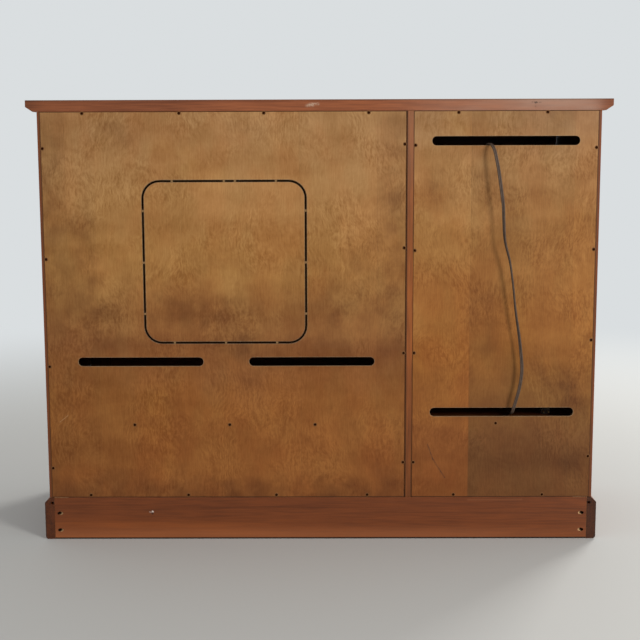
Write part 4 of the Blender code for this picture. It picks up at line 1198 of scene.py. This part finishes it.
@dataclass
class TwinLead:
    """The flat twin lead: out of the outlet block, down the back, and coiled on the shelf by its plug."""

    width: float = 0.0086
    lobe_radius: float = 0.0022
    lobe_offset: float = 0.0021
    groove: float = 0.001
    step: float = 0.0055
    coil_x: float = -0.569
    coil_y: float = 0.035
    coil_radius: float = 0.049
    coil_pitch: float = 0.0098
    coil_layer: float = 0.0092
    coil_turns: float = 2.5
    rest_z: float = 0.3311
    shelf_z: float = 0.32655
    loop_points: int = 24
    curve_points: int = 12
    most_twist: float = 1.5
    band_half: float = 0.0022
    band: float = 0.0005
    wire_half: float = 0.0004
    exit: Point = (-0.3068, 0.2152, 1.046)

    route = (
        (-0.3062, 0.2152, 1.046), (-0.3243, 0.2152, 1.046), (-0.355, 0.2185, 1.0445),
        (-0.387, 0.2265, 1.0415), (-0.4145, 0.241, 1.0415), (-0.4325, 0.255, 1.0496),
        (-0.4395, 0.266, 1.0588), (-0.4435, 0.281, 1.0612), (-0.4482, 0.296, 1.0556),
        (-0.4532, 0.306, 1.0425), (-0.4576, 0.3095, 1.022), (-0.4634, 0.3115, 0.992),
        (-0.4711, 0.313, 0.941), (-0.4764, 0.3125, 0.903), (-0.4786, 0.3115, 0.864),
        (-0.4829, 0.31, 0.811), (-0.4974, 0.3075, 0.754), (-0.5069, 0.305, 0.693),
        (-0.5149, 0.3025, 0.627), (-0.5257, 0.3005, 0.56), (-0.5315, 0.2995, 0.514),
        (-0.535, 0.2995, 0.476), (-0.5335, 0.3, 0.446), (-0.5284, 0.3005, 0.415),
        (-0.5215, 0.3, 0.388), (-0.5162, 0.296, 0.3665), (-0.515, 0.283, 0.3525),
        (-0.5158, 0.266, 0.3462), (-0.5178, 0.243, 0.3385), (-0.5195, 0.218, 0.3332),
        (-0.52, 0.188, 0.3311), (-0.52, 0.15, 0.3311), (-0.52, 0.105, 0.3311),
        (-0.52, 0.072, 0.3311),
    )
    tail = (
        (-0.6182, 0.063, 0.3396), (-0.6186, 0.095, 0.3366), (-0.6191, 0.125, 0.3352),
        (-0.6191, 0.15, 0.3351), (-0.6191, 0.1632, 0.3351),
    )

    def path(self) -> list[Vector]:
        """Draw the lead's centreline as a smooth curve through its points.

        Returns:
            Its points, evenly spaced.
        """
        points = [Vector(point) for point in (*self.route, *self.coil(), *self.tail)]
        ends = [2 * points[0] - points[1], *points, 2 * points[-1] - points[-2]]
        fine = []
        for before, start, stop, after in zip(ends, ends[1:], ends[2:], ends[3:]):
            bend = 2 * before - 5 * start + 4 * stop - after
            twist = 3 * start - before - 3 * stop + after
            for part in range(self.curve_points):
                t = part / self.curve_points
                fine.append((2 * start + (stop - before) * t + bend * t * t + twist * t**3) / 2)
        fine.append(points[-1])
        total = sum((b - a).length for a, b in zip(fine, fine[1:]))
        count = round(total / self.step)
        spaced = [fine[0]]
        travelled = 0.0
        for a, b in zip(fine, fine[1:]):
            run = (b - a).length
            while len(spaced) < count and travelled + run >= len(spaced) * total / count:
                spaced.append(a.lerp(b, (len(spaced) * total / count - travelled) / run))
            travelled += run
        return [*spaced, points[-1]]

    def coil(self) -> list[Point]:
        """Draw the coil: a turn in on the shelf, half a turn up and a turn out on top.

        Returns:
            The points of its centreline.
        """
        points = []
        for step in range(round(self.coil_turns * self.loop_points) + 1):
            turn = step / self.loop_points
            climb = min(max(turn - 1.0, 0.0), 0.5)
            inward = 1.0 + climb - 2 * climb * climb - max(1.0 - turn, turn - 1.5, 0.0)
            radius = self.coil_radius - self.coil_pitch * inward
            angle = -2 * math.pi * turn
            rise = self.coil_layer * (0.5 - 0.5 * math.cos(2 * math.pi * climb))
            x = self.coil_x + radius * math.cos(angle)
            points.append((x, self.coil_y + radius * math.sin(angle), self.rest_z + rise))
        return points

    def section(self) -> list[Pair]:
        """Draw the lead's section: two round cores side by side with a groove between.

        Returns:
            The points round it, by the width and the thickness.
        """
        turns = [math.radians(-140 + 35 * step) for step in range(9)]
        radius = self.lobe_radius
        half = [(self.lobe_offset + radius * math.cos(turn), radius * math.sin(turn)) for turn in turns]
        return [(0.0, -self.groove), *half, (0.0, self.groove), *((-x, -y) for x, y in half)]

    def width_way(self, place: Vector, tangent: Vector, share: float) -> Vector:
        """Find the way that the lead's flat width lies at a place.

        Args:
            place: The point on the centreline.
            tangent: The way that the lead runs there.
            share: How far along the lead the point is, from 0 to 1.

        Returns:
            A unit vector across the lead.
        """
        inside = min(max((BACK_Y - place.y) / 0.05, 0.0), 1.0)
        if share > 0.97:
            inside = (1.0 - share) / 0.03
        way = Vector((1.0, 0.0, 0.0)).lerp(Vector((0.0, 0.0, 1.0)), inside)
        way = (way - way.dot(tangent) * tangent).normalized()
        hang = min(max((1.0 - place.z) / 0.6, 0.0), 1.0) * (1.0 - inside)
        twist = self.most_twist * math.sin(math.pi * hang) ** 2
        return Matrix.Rotation(twist, 3, tangent) @ way

    def mesh(self, path: list[Vector]) -> Mesh:
        """Build the lead as a closed tube of its section.

        Args:
            path: The points of its centreline.

        Returns:
            The mesh.
        """
        rings = []
        for index, place in enumerate(path):
            ends = path[max(index - 1, 0) : index + 2]
            tangent = (ends[-1] - ends[0]).normalized()
            across = self.width_way(place, tangent, index / (len(path) - 1))
            up = tangent.cross(across)
            rings.append([place + x * across + y * up for x, y in self.section()])
        shape = bmesh.new()
        add_rings(shape, rings)
        return new_mesh(shape, 50.0)

    def tie(self) -> Mesh:
        """Build the wire tie that holds the coil: a flat band round its strands and a twisted end.

        Returns:
            The mesh.
        """
        inner = self.coil_radius - self.coil_pitch - 0.0042
        outer = self.coil_radius + 0.0008
        low = self.rest_z - self.width / 2 - 0.0002
        high = self.rest_z + self.coil_layer + self.width / 2 + 0.0007
        middle = Vector((self.coil_x, self.coil_y - (inner + outer) / 2, (low + high) / 2))
        rings = []
        for y, z in ring(28, 0.5):
            way = Vector((0.0, (outer - inner) / 2 * y, (high - low) / 2 * z))
            corners = []
            for side, out in SQUARE:
                spot = middle + way * (1 + max(out, 0) * self.band / way.length)
                corners.append((spot.x + side * self.band_half, spot.y, max(spot.z, self.shelf_z)))
            rings.append(corners)
        shape = bmesh.new()
        add_rings(shape, rings, loop=True)
        start = Vector((self.coil_x, self.coil_y - outer - 0.0004, high - 0.004))
        for strand in (0.0, math.pi):
            rings = []
            for step in range(15):
                turn = strand + 0.75 * step
                spread = 0.0008 + 0.00012 * max(step - 9, 0) ** 1.5
                spot = start + Vector((spread * math.cos(turn), -0.0011 * step, spread * math.sin(turn)))
                spot.z -= 0.00004 * step * step
                rings.append([spot + self.wire_half * Vector((x, 0.0, z)) for x, z in SQUARE])
            add_rings(shape, rings)
        return new_mesh(shape, 40.0)

    def build(self, finishes: "Finishes", plug: list[Object]) -> None:
        """Add the lead and its tie.

        Args:
            finishes: All the finishes.
            plug: The pieces of the plug on its end; not used.
        """
        path = self.path()
        length = sum((b - a).length for a, b in zip(path, path[1:]))
        lead = add_piece("twin_lead", self.mesh(path), finishes["grey_vinyl"], CABINET)
        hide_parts("cord_run", "cord_coil")
        band = add_piece("coil_tie", self.tie(), finishes["tie_paper"], CABINET)


@dataclass
class LeadPlug:
    """The moulded two-blade plug on the lead's end, lying on the media shelf."""

    centre_x: float = -0.6191
    rear_y: float = 0.1633
    floor_z: float = 0.3268
    width: float = 0.026
    length: float = 0.0322
    thickness: float = 0.016
    blade_spacing: float = 0.0127
    blade_length: float = 0.0145
    blade_width: float = 0.0064
    blade_thickness: float = 0.0015
    hole_radius: float = 0.0016
    ribs: int = 5

    profile = (
        (-0.34, 0.4, 0.56), (-0.3, 0.44, 0.62), (-0.02, 0.5, 0.7), (0.0, 0.62, 0.8), (0.06, 0.74, 0.88),
        (0.2, 0.8, 0.9), (0.42, 0.82, 0.9), (0.62, 0.86, 0.94), (0.74, 0.98, 1.0), (0.97, 1.0, 1.0),
        (1.0, 0.95, 0.95),
    )
    blade = ((-0.002, 0.5), (0.8, 0.5), (1.0, 0.3), (1.0, -0.3), (0.8, -0.5), (-0.002, -0.5))

    def body(self) -> Mesh:
        """Build the moulded body, waisted behind its face, with a sleeve for the lead.

        Returns:
            The mesh.
        """
        rings = []
        for along, wide, thick in self.profile:
            points = []
            for across, rise in ring(24, 0.55):
                x = self.centre_x + wide * self.width / 2 * across
                z = self.floor_z + self.thickness / 2 * (1 + thick * rise)
                points.append((x, self.rear_y + along * self.length, z))
            rings.append(points)
        shape = bmesh.new()
        add_rings(shape, rings)
        return new_mesh(shape, 40.0)

    def rib_places(self) -> list[Placing]:
        """Place the grip's ribs on both sides of the body.

        Returns:
            Their places.
        """
        places = []
        for side in (-1, 1):
            x = self.centre_x + side * 0.405 * self.width
            for index in range(self.ribs):
                y = self.rear_y + self.length * (0.2 + 0.11 * index)
                places.append(Placing((x, y, self.floor_z + self.thickness / 2), (side, 0.0, 0.0)))
        return places

    def blades(self) -> Mesh:
        """Build the two blades, each with a hole and a tapered tip.

        Returns:
            The mesh.
        """
        shape = bmesh.new()
        front = self.rear_y + self.length
        middle = self.floor_z + self.thickness / 2
        outline = [(front + y * self.blade_length, middle + z * self.blade_width) for y, z in self.blade]
        hole_y = front + 0.78 * self.blade_length
        hole = [(hole_y + self.hole_radius * y, middle + self.hole_radius * z) for y, z in ring(12)]
        half = self.blade_thickness / 2
        for side in (-0.5, 0.5):
            x = self.centre_x + side * self.blade_spacing
            add_plate(shape, [outline, hole], (x - half, x + half))
        return new_mesh(shape)

    def build(self, parts: SmallParts, finishes: "Finishes") -> list[Object]:
        """Add the plug's body, ribs and blades.

        Args:
            parts: The layer of repeated parts.
            finishes: All the finishes.

        Returns:
            The plug's pieces.
        """
        plastic = finishes["brown_moulding"]
        body = add_piece("plug_body", self.body(), plastic, CABINET)
        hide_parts("cord_plug")
        rib = add_box(bmesh.new(), (-0.0048, -0.0008, -0.001), (0.0048, 0.0008, 0.0011), 0.0004)
        ribs = parts.lay(new_mesh(rib, 40.0), self.rib_places(), plastic)
        grip = add_piece("plug_ribs", ribs, plastic, CABINET)
        blades = add_piece("plug_blades", self.blades(), finishes["brass"], CABINET)
        return [body, grip, blades]


@dataclass
class BackScrews:
    """The screws that hold the two backs to the case, each in a slight dent.

    Rows have their Z and the X of each screw, and columns their X and the Z of each.
    """

    head_radius: float = 0.0034
    head_height: float = 0.0015
    seat_radius: float = 0.0052

    rows = (
        (1.142, (0.615, 0.363, 0.143, -0.129, -0.362, -0.592)),
        (0.123, (0.62, 0.356, 0.118, -0.127, -0.36, -0.599)),
        (0.317, (0.497, 0.242, 0.013)),
        (0.32, (-0.471,)),
    )
    columns = (
        (0.7205, (1.052, 0.763, 0.476, 0.198)),
        (-0.2231, (1.061, 0.791, 0.511, 0.213)),
        (-0.2507, (1.058, 0.784, 0.511, 0.213)),
        (-0.7205, (1.051, 0.786, 0.545, 0.229)),
    )

    def build(self, parts: SmallParts, finishes: "Finishes") -> None:
        """Add the screws and their dented seats.

        Args:
            parts: The layer of repeated parts.
            finishes: All the finishes.
        """
        spots = [(x, z) for z, row in self.rows for x in row]
        spots += [(x, z) for x, column in self.columns for z in column]
        places = [Placing((x, BACK_Y, z), (0.0, 1.0, 0.0)) for x, z in spots]
        steel = finishes["blackened_steel"]
        screws = parts.lay(ScrewHead(self.head_radius, self.head_height).mesh(), places, steel, 2 * math.pi)
        add_piece("back_screws", screws, steel, CABINET)
        rim = self.seat_radius
        seat = bmesh.new()
        add_rings(seat, turned_rings([(rim, 0.0), (rim - 0.0006, 0.00022), (self.head_radius, 0.0001)]))
        bruise = finishes["pressed_birch"]
        seats = parts.lay(new_mesh(seat, 30.0), places, bruise)
        add_piece("back_screw_seats", seats, bruise, CABINET)


@dataclass
class DoorFittings:
    """What hangs and holds one door: its hinge screws, its strike plate and the catch on the case."""

    name: str
    axis_x: float
    free_x: float
    inward: int
    axis_y: float = -0.2543
    hinges: Pair = (0.4235, 1.03)
    leaf_half: float = 0.0007
    case_screws: Pair = (0.0125, 0.0245)
    leaf_screws: Pair = (0.011, 0.0095)
    head_radius: float = 0.0025
    head_height: float = 0.00022
    rail_low: float = 1.127
    door_back: float = -0.23

    def screw_places(self, way: int, spread: Pair) -> list[Placing]:
        """Place the screws of one kind of leaf.

        Args:
            way: 1 or -1 for the way along X that they face.
            spread: How far they lie behind the pin, and above and below the hinge's middle.

        Returns:
            Their places.
        """
        depth, rise = spread
        x = self.axis_x + way * self.leaf_half
        heights = [hinge + end * rise for hinge in self.hinges for end in (-1, 1)]
        return [Placing((x, self.axis_y + depth, z), (way, 0.0, 0.0)) for z in heights]

    def catch(self) -> Mesh:
        """Build the catch's case under the top rail, with the magnet's two pole plates in front.

        Returns:
            The mesh.
        """
        shape = bmesh.new()
        x, y, z = (self.free_x, self.door_back, self.rail_low)
        add_box(shape, (x - 0.021, y + 0.002, z - 0.0125), (x + 0.021, y + 0.017, z - 0.0002), 0.0012)
        for left in (x - 0.0175, x + 0.0065):
            add_box(shape, (left, y + 0.0012, z - 0.0105), (left + 0.011, y + 0.0035, z - 0.0025), 0.0003)
        return new_mesh(shape, 40.0)

    def strike(self) -> Mesh:
        """Build the steel plate that the magnet pulls, fixed to the back of the door.

        Returns:
            The mesh.
        """
        x, y, z = (self.free_x, self.door_back, self.rail_low)
        plate = add_box(bmesh.new(), (x - 0.019, y, z - 0.0125), (x + 0.019, y + 0.0009, z - 0.003), 0.0003)
        return new_mesh(plate, 40.0)

    def build(self, parts: SmallParts, finishes: "Finishes") -> None:
        """Add the fittings, each on the body that it moves with.

        Args:
            parts: The layer of repeated parts.
            finishes: All the finishes.
        """
        brass = finishes["brass"]
        head = ScrewHead(self.head_radius, self.head_height, flat=0.9, recess=0.62).mesh()
        for tail, body, way, spread in (
            ("case_screws", CABINET, self.inward, self.case_screws),
            ("leaf_screws", self.name, -self.inward, self.leaf_screws),
        ):
            screws = parts.lay(head, self.screw_places(way, spread), brass, 2 * math.pi)
            add_piece(f"{self.name}_{tail}", screws, brass, body)
        plastic = finishes["brown_moulding"]
        add_piece(f"{self.name}_catch", self.catch(), plastic, CABINET)
        steel = finishes["blackened_steel"]
        add_piece(f"{self.name}_strike", self.strike(), steel, self.name)


@dataclass
class MeetingBead:
    """The slim bead on the right television door's edge, which fills most of the gap to the other door."""

    edge_x: float = 0.249
    proud: float = 0.002
    front_y: float = -0.2478
    depth: float = 0.008
    low_z: float = 0.331
    high_z: float = 1.1225
    nose: float = 0.0011

    def build(self, cherry: Material) -> None:
        """Add the bead, rounded along its nose.

        Args:
            cherry: Its finish.
        """
        low = (self.edge_x - self.proud, self.front_y, self.low_z)
        high = (self.edge_x + 0.0004, self.front_y + self.depth, self.high_z)
        bead = new_mesh(add_box(bmesh.new(), low, high, self.nose, 3), 40.0)
        add_piece("meeting_bead", bead, cherry, "tv_door_right")


@dataclass
class ShelfPins:
    """The collared brass pins that the two loose shelves rest on."""

    radius: float = 0.0032
    collar_radius: float = 0.0048
    collar: float = 0.0009
    length: float = 0.0094
    fronts: Pair = (-0.148, 0.1682)
    undersides: Pair = (0.8715, 0.6115)
    walls: tuple[tuple[float, int], ...] = ((-0.7135, 1), (-0.2565, -1))
    drop: float = 0.0033

    def build(self, parts: SmallParts, brass: Material) -> None:
        """Add the pins.

        Args:
            parts: The layer of repeated parts.
            brass: Their finish.
        """
        profile = [
            (self.collar_radius, 0.0),
            (self.collar_radius, 0.6 * self.collar),
            (self.collar_radius - 0.0004, self.collar),
            (self.radius, self.collar),
            (self.radius, self.length - 0.0006),
            (self.radius - 0.0006, self.length),
        ]
        places = []
        for wall, way in self.walls:
            for underside in self.undersides:
                places += [Placing((wall, y, underside - self.drop), (way, 0.0, 0.0)) for y in self.fronts]
        pin = bmesh.new()
        add_rings(pin, turned_rings(profile))
        pins = parts.lay(new_mesh(pin, 35.0), places, brass)
        add_piece("shelf_pins", pins, brass, CABINET)


@dataclass
class OutletFaces:
    """The three slotted faces in the outlet block's recesses."""

    sides: Pair = (-0.2829, -0.2841)
    middle_y: float = 0.2152
    first_z: float = 0.9355
    pitch: float = 0.038
    count: int = 3
    half: float = 0.0132
    corner: float = 0.00528
    slot_half: Pair = (0.001, 0.0042)
    slot_offset: float = 0.00635

    def loops(self, middle_z: float) -> list[list[Pair]]:
        """Draw one face: a square with rounded corners and two upright slots.

        Args:
            middle_z: The height of its middle.

        Returns:
            The Y and Z of the outline and the slots.
        """
        outline = []
        straight = self.half - self.corner
        for quarter, (side, end) in enumerate(((1, 1), (-1, 1), (-1, -1), (1, -1))):
            for step in range(6):
                angle = (quarter + step / 5) * math.pi / 2
                y = self.middle_y + side * straight + self.corner * math.cos(angle)
                outline.append((y, middle_z + end * straight + self.corner * math.sin(angle)))
        wide, high = self.slot_half
        middles = [self.middle_y + side * self.slot_offset for side in (-1, 1)]
        slots = [[(middle + y * wide, middle_z + z * high) for y, z in SQUARE] for middle in middles]
        return [outline, *slots]

    def build(self, finish: Material) -> None:
        """Add the faces.

        Args:
            finish: Their material.
        """
        shape = bmesh.new()
        for index in range(self.count):
            add_plate(shape, self.loops(self.first_z + index * self.pitch), self.sides)
        add_piece("outlet_faces", new_mesh(shape), finish, CABINET)


class Finishes:
    """Every finish of the cabinet, and which of its boards and fittings wears which."""

    worn_by = (
        ("top_panel", "top_cherry"),
        ("partition", "partition_cherry"),
        ("back_tv", "birch_tv_back"),
        ("back_media", "birch_media_back"),
        ("plinth_rear", "plinth_cherry"),
        ("plinth_left", "cherry_deep"),
        ("plinth_right", "cherry_deep"),
        ("outlet_block", "brown_moulding"),
        ("leaf", "brass"),
        ("knob", "knob_cherry"),
        ("drawer_box", "drawer_maple"),
        ("drawer_bottom", "drawer_maple"),
        ("cord", "grey_vinyl"),
        ("stile_left", "cherry_upright_0"),
        ("stile_right", "cherry_upright_1"),
        ("door_panel", "cherry_upright_2"),
        ("door_left_panel", "cherry_upright_2"),
        ("door_right_panel", "cherry_upright_2"),
        ("side_", "side_cherry"),
        ("rail", "cherry_level_0"),
        ("drawer_front", "cherry_level_1"),
        ("", "cherry_level_2"),
    )

    def __init__(self) -> None:
        """Make the shared effects and the materials."""
        effects = Effects()
        middle_gaps = ((-0.2311, -0.2286, 0.88, 0.88), (-0.2462, -0.2438, 0.0, 0.6))
        side_gaps = ((-0.728, -0.7246, 0.88, 0.88), (0.7246, 0.728, 0.88, 0.88))
        plinth = {"dark": (0.106, 0.0272, 0.0066), "light": (0.182, 0.0466, 0.0112)}
        top = {"dark": (0.155, 0.042, 0.0135), "light": (0.305, 0.092, 0.032), "gloss": 0.32}
        aged_and_lit = {"gap_shade": (0.075, 0.024, 0.004), "paler": (1.47, 1.62, 1.32), "low_tone": 0.62, "sheen_haze": 0.28}
        finishes = (
            *(Cherry(f"cherry_upright_{n}", Grain.ALONG_Z, 2.3 * n) for n in range(3)),
            *(Cherry(f"cherry_level_{n}", Grain.ALONG_X, 1.9 * n + 0.7) for n in range(3)),
            PlinthEndCherry("cherry_deep", Grain.ALONG_Y, 4.4),
            RearEdgeCherry("partition_cherry", Grain.ALONG_Z, 9.3, gaps=middle_gaps, **aged_and_lit),
            RearEdgeCherry("side_cherry", Grain.ALONG_Z, 2.3, gaps=side_gaps),
            PlinthCherry("plinth_cherry", Grain.ALONG_X, 6.1, **plinth),
            TopCherry("top_cherry", Grain.ALONG_X, 8.2, **top),
            TV_BACK,
            MEDIA_BACK,
            Maple("drawer_maple", Grain.ALONG_Y),
            TurnedCherry("knob_cherry"),
            *PLAIN_STUFFS,
        )
        self.materials = {finish.name: finish.material(effects) for finish in finishes}

    def __getitem__(self, name: str) -> Material:
        """Return a finish by its name."""
        return self.materials[name]

    def dress_nodes(self) -> None:
        """Give every CAD part its finish, the first in the list that fits its name."""
        for name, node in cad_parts.items():
            finish = next(worn for part, worn in self.worn_by if part in name)
            for slot in node.material_slots:
                slot.material = self[finish]
            LOG.info("part %s wears %s", name, finish)


@dataclass
class Studio:
    """The camera at the photo's place, a plain pale floor and soft light."""

    camera_place: Point = (-0.0181, 3.435, 1.0385)
    pitch: float = 7.909
    yaw: float = -0.3115
    roll: float = 0.1736
    lens: float = 67.6
    sensor: float = 36.0
    floor_half: float = 12.0
    floor_colour: Colour = (0.5, 0.498, 0.476)
    backdrop: Colour = (0.7, 0.73, 0.745)
    sky: Colour = (0.97, 0.985, 1.0)
    sky_strength: float = 0.66
    lamp_colour: Colour = (1.0, 0.985, 0.96)

    def camera(self) -> None:
        """Add the camera behind the cabinet."""
        p, w, r = (math.radians(angle) for angle in (self.pitch, self.yaw, self.roll))
        level = Vector((-math.cos(w), math.sin(w), 0.0))
        over = Vector((-math.sin(p) * math.sin(w), -math.sin(p) * math.cos(w), math.cos(p)))
        right = math.cos(r) * level - math.sin(r) * over
        up = math.sin(r) * level + math.cos(r) * over
        data = bpy.data.cameras.new("photo_camera")
        data.lens = self.lens
        data.sensor_width = self.sensor
        data.sensor_fit = "HORIZONTAL"
        camera = bpy.data.objects.new("photo_camera", data)
        axes = Matrix((right, up, right.cross(up))).transposed()
        camera.matrix_world = Matrix.Translation(self.camera_place) @ axes.to_4x4()
        bpy.context.scene.collection.objects.link(camera)
        bpy.context.scene.camera = camera

    @staticmethod
    def _shown(tree: Tree) -> Field:
        """Tell the rays that show the backdrop from those that light the cabinet.

        Args:
            tree: The tree that asks.

        Returns:
            1 for the first and 0 for the others.
        """
        rays = add_node(tree, "ShaderNodeLightPath").outputs
        kinds = ("Camera", "Glossy", "Transmission")
        seen, glossy, through = (Field(tree, rays[f"Is {kind} Ray"]) for kind in kinds)
        return seen.most(glossy.most(through))

    def floor(self) -> None:
        """Add the floor, which fades into the backdrop."""
        shape = bmesh.new()
        bmesh.ops.create_grid(shape, x_segments=8, y_segments=8, size=self.floor_half)
        mesh = bpy.data.meshes.new("floor")
        shape.to_mesh(mesh)
        shape.free()
        plain = {"Base_Color": (*self.floor_colour, 1.0), "Roughness": 0.8, "Specular_IOR_Level": 0.2}
        made = Surface.new("pale_floor", **plain)
        tree = made.place.tree
        fade = made.place.length().eased(1.3, 4.2) * self._shown(tree)
        glow = add_node(tree, "ShaderNodeEmission", {"Color": (*self.backdrop, 1.0)})
        mixed = {0: fade, 1: made.shader.outputs[0], 2: glow.outputs[0]}
        both = add_node(tree, "ShaderNodeMixShader", mixed)
        tree.links.new(both.outputs[0], tree.nodes["Material Output"].inputs["Surface"])
        mesh.materials.append(made.material)
        floor = bpy.data.objects.new("floor", mesh)
        bpy.context.scene.collection.objects.link(floor)

    def lamp(self, name: str, place: Point, target: Point, size: float, power: float) -> None:
        """Add a soft square lamp.

        Args:
            name: The lamp's name.
            place: Where it stands.
            target: What it points at.
            size: Its side.
            power: Its power in watts.
        """
        data = bpy.data.lights.new(name, "AREA")
        data.shape = "SQUARE"
        data.size = size
        data.energy = power
        data.color = self.lamp_colour
        lamp = bpy.data.objects.new(name, data)
        aim = (Vector(target) - Vector(place)).to_track_quat("-Z", "Y")
        lamp.matrix_world = Matrix.Translation(place) @ aim.to_matrix().to_4x4()
        bpy.context.scene.collection.objects.link(lamp)

    def light(self) -> None:
        """Add the sky that fills the studio, and the lamps."""
        world = bpy.data.worlds.new("studio")
        world.use_nodes = True
        bpy.context.scene.world = world
        tree = world.node_tree
        tree.nodes.clear()
        fill_light = {"Color": (*self.sky, 1.0), "Strength": self.sky_strength}
        filled = add_node(tree, "ShaderNodeBackground", fill_light)
        shown = add_node(tree, "ShaderNodeBackground", {"Color": (*self.backdrop, 1.0), "Strength": 1.0})
        mixed = {0: self._shown(tree), 1: filled.outputs[0], 2: shown.outputs[0]}
        both = add_node(tree, "ShaderNodeMixShader", mixed)
        add_node(tree, "ShaderNodeOutputWorld", {"Surface": both.outputs[0]})
        self.lamp("window", (-4.4, 5.0, 2.6), (0.0, 0.25, 0.65), 1.4, 270.0)
        self.lamp("front_window", (-3.4, -4.2, 3.0), (0.0, -0.25, 0.6), 1.8, 230.0)

    def build(self) -> None:
        """Add the floor and the light, and show colours as they are written."""
        self.floor()
        self.light()
        bpy.context.scene.view_settings.view_transform = "Standard"


def main() -> None:
    """Build the camera and the lead, then the fittings, the finishes and the studio."""
    logging.basicConfig(level=logging.INFO, format="%(message)s")
    studio = Studio()
    studio.camera()
    finishes = Finishes()
    parts = SmallParts()
    plug = LeadPlug().build(parts, finishes)
    TwinLead().build(finishes, plug)
    BackScrews().build(parts, finishes)
    for fittings in (
        DoorFittings("media_door", axis_x=-0.7125, free_x=-0.3, inward=1),
        DoorFittings("tv_door_left", axis_x=-0.2175, free_x=0.205, inward=1),
        DoorFittings("tv_door_right", axis_x=0.7125, free_x=0.29, inward=-1),
    ):
        fittings.build(parts, finishes)
    MeetingBead().build(finishes["cherry_upright_0"])
    ShelfPins().build(parts, finishes["brass"])
    OutletFaces().build(finishes["aged_ivory"])
    finishes.dress_nodes()
    studio.build()


if __name__ == "__main__":
    main()
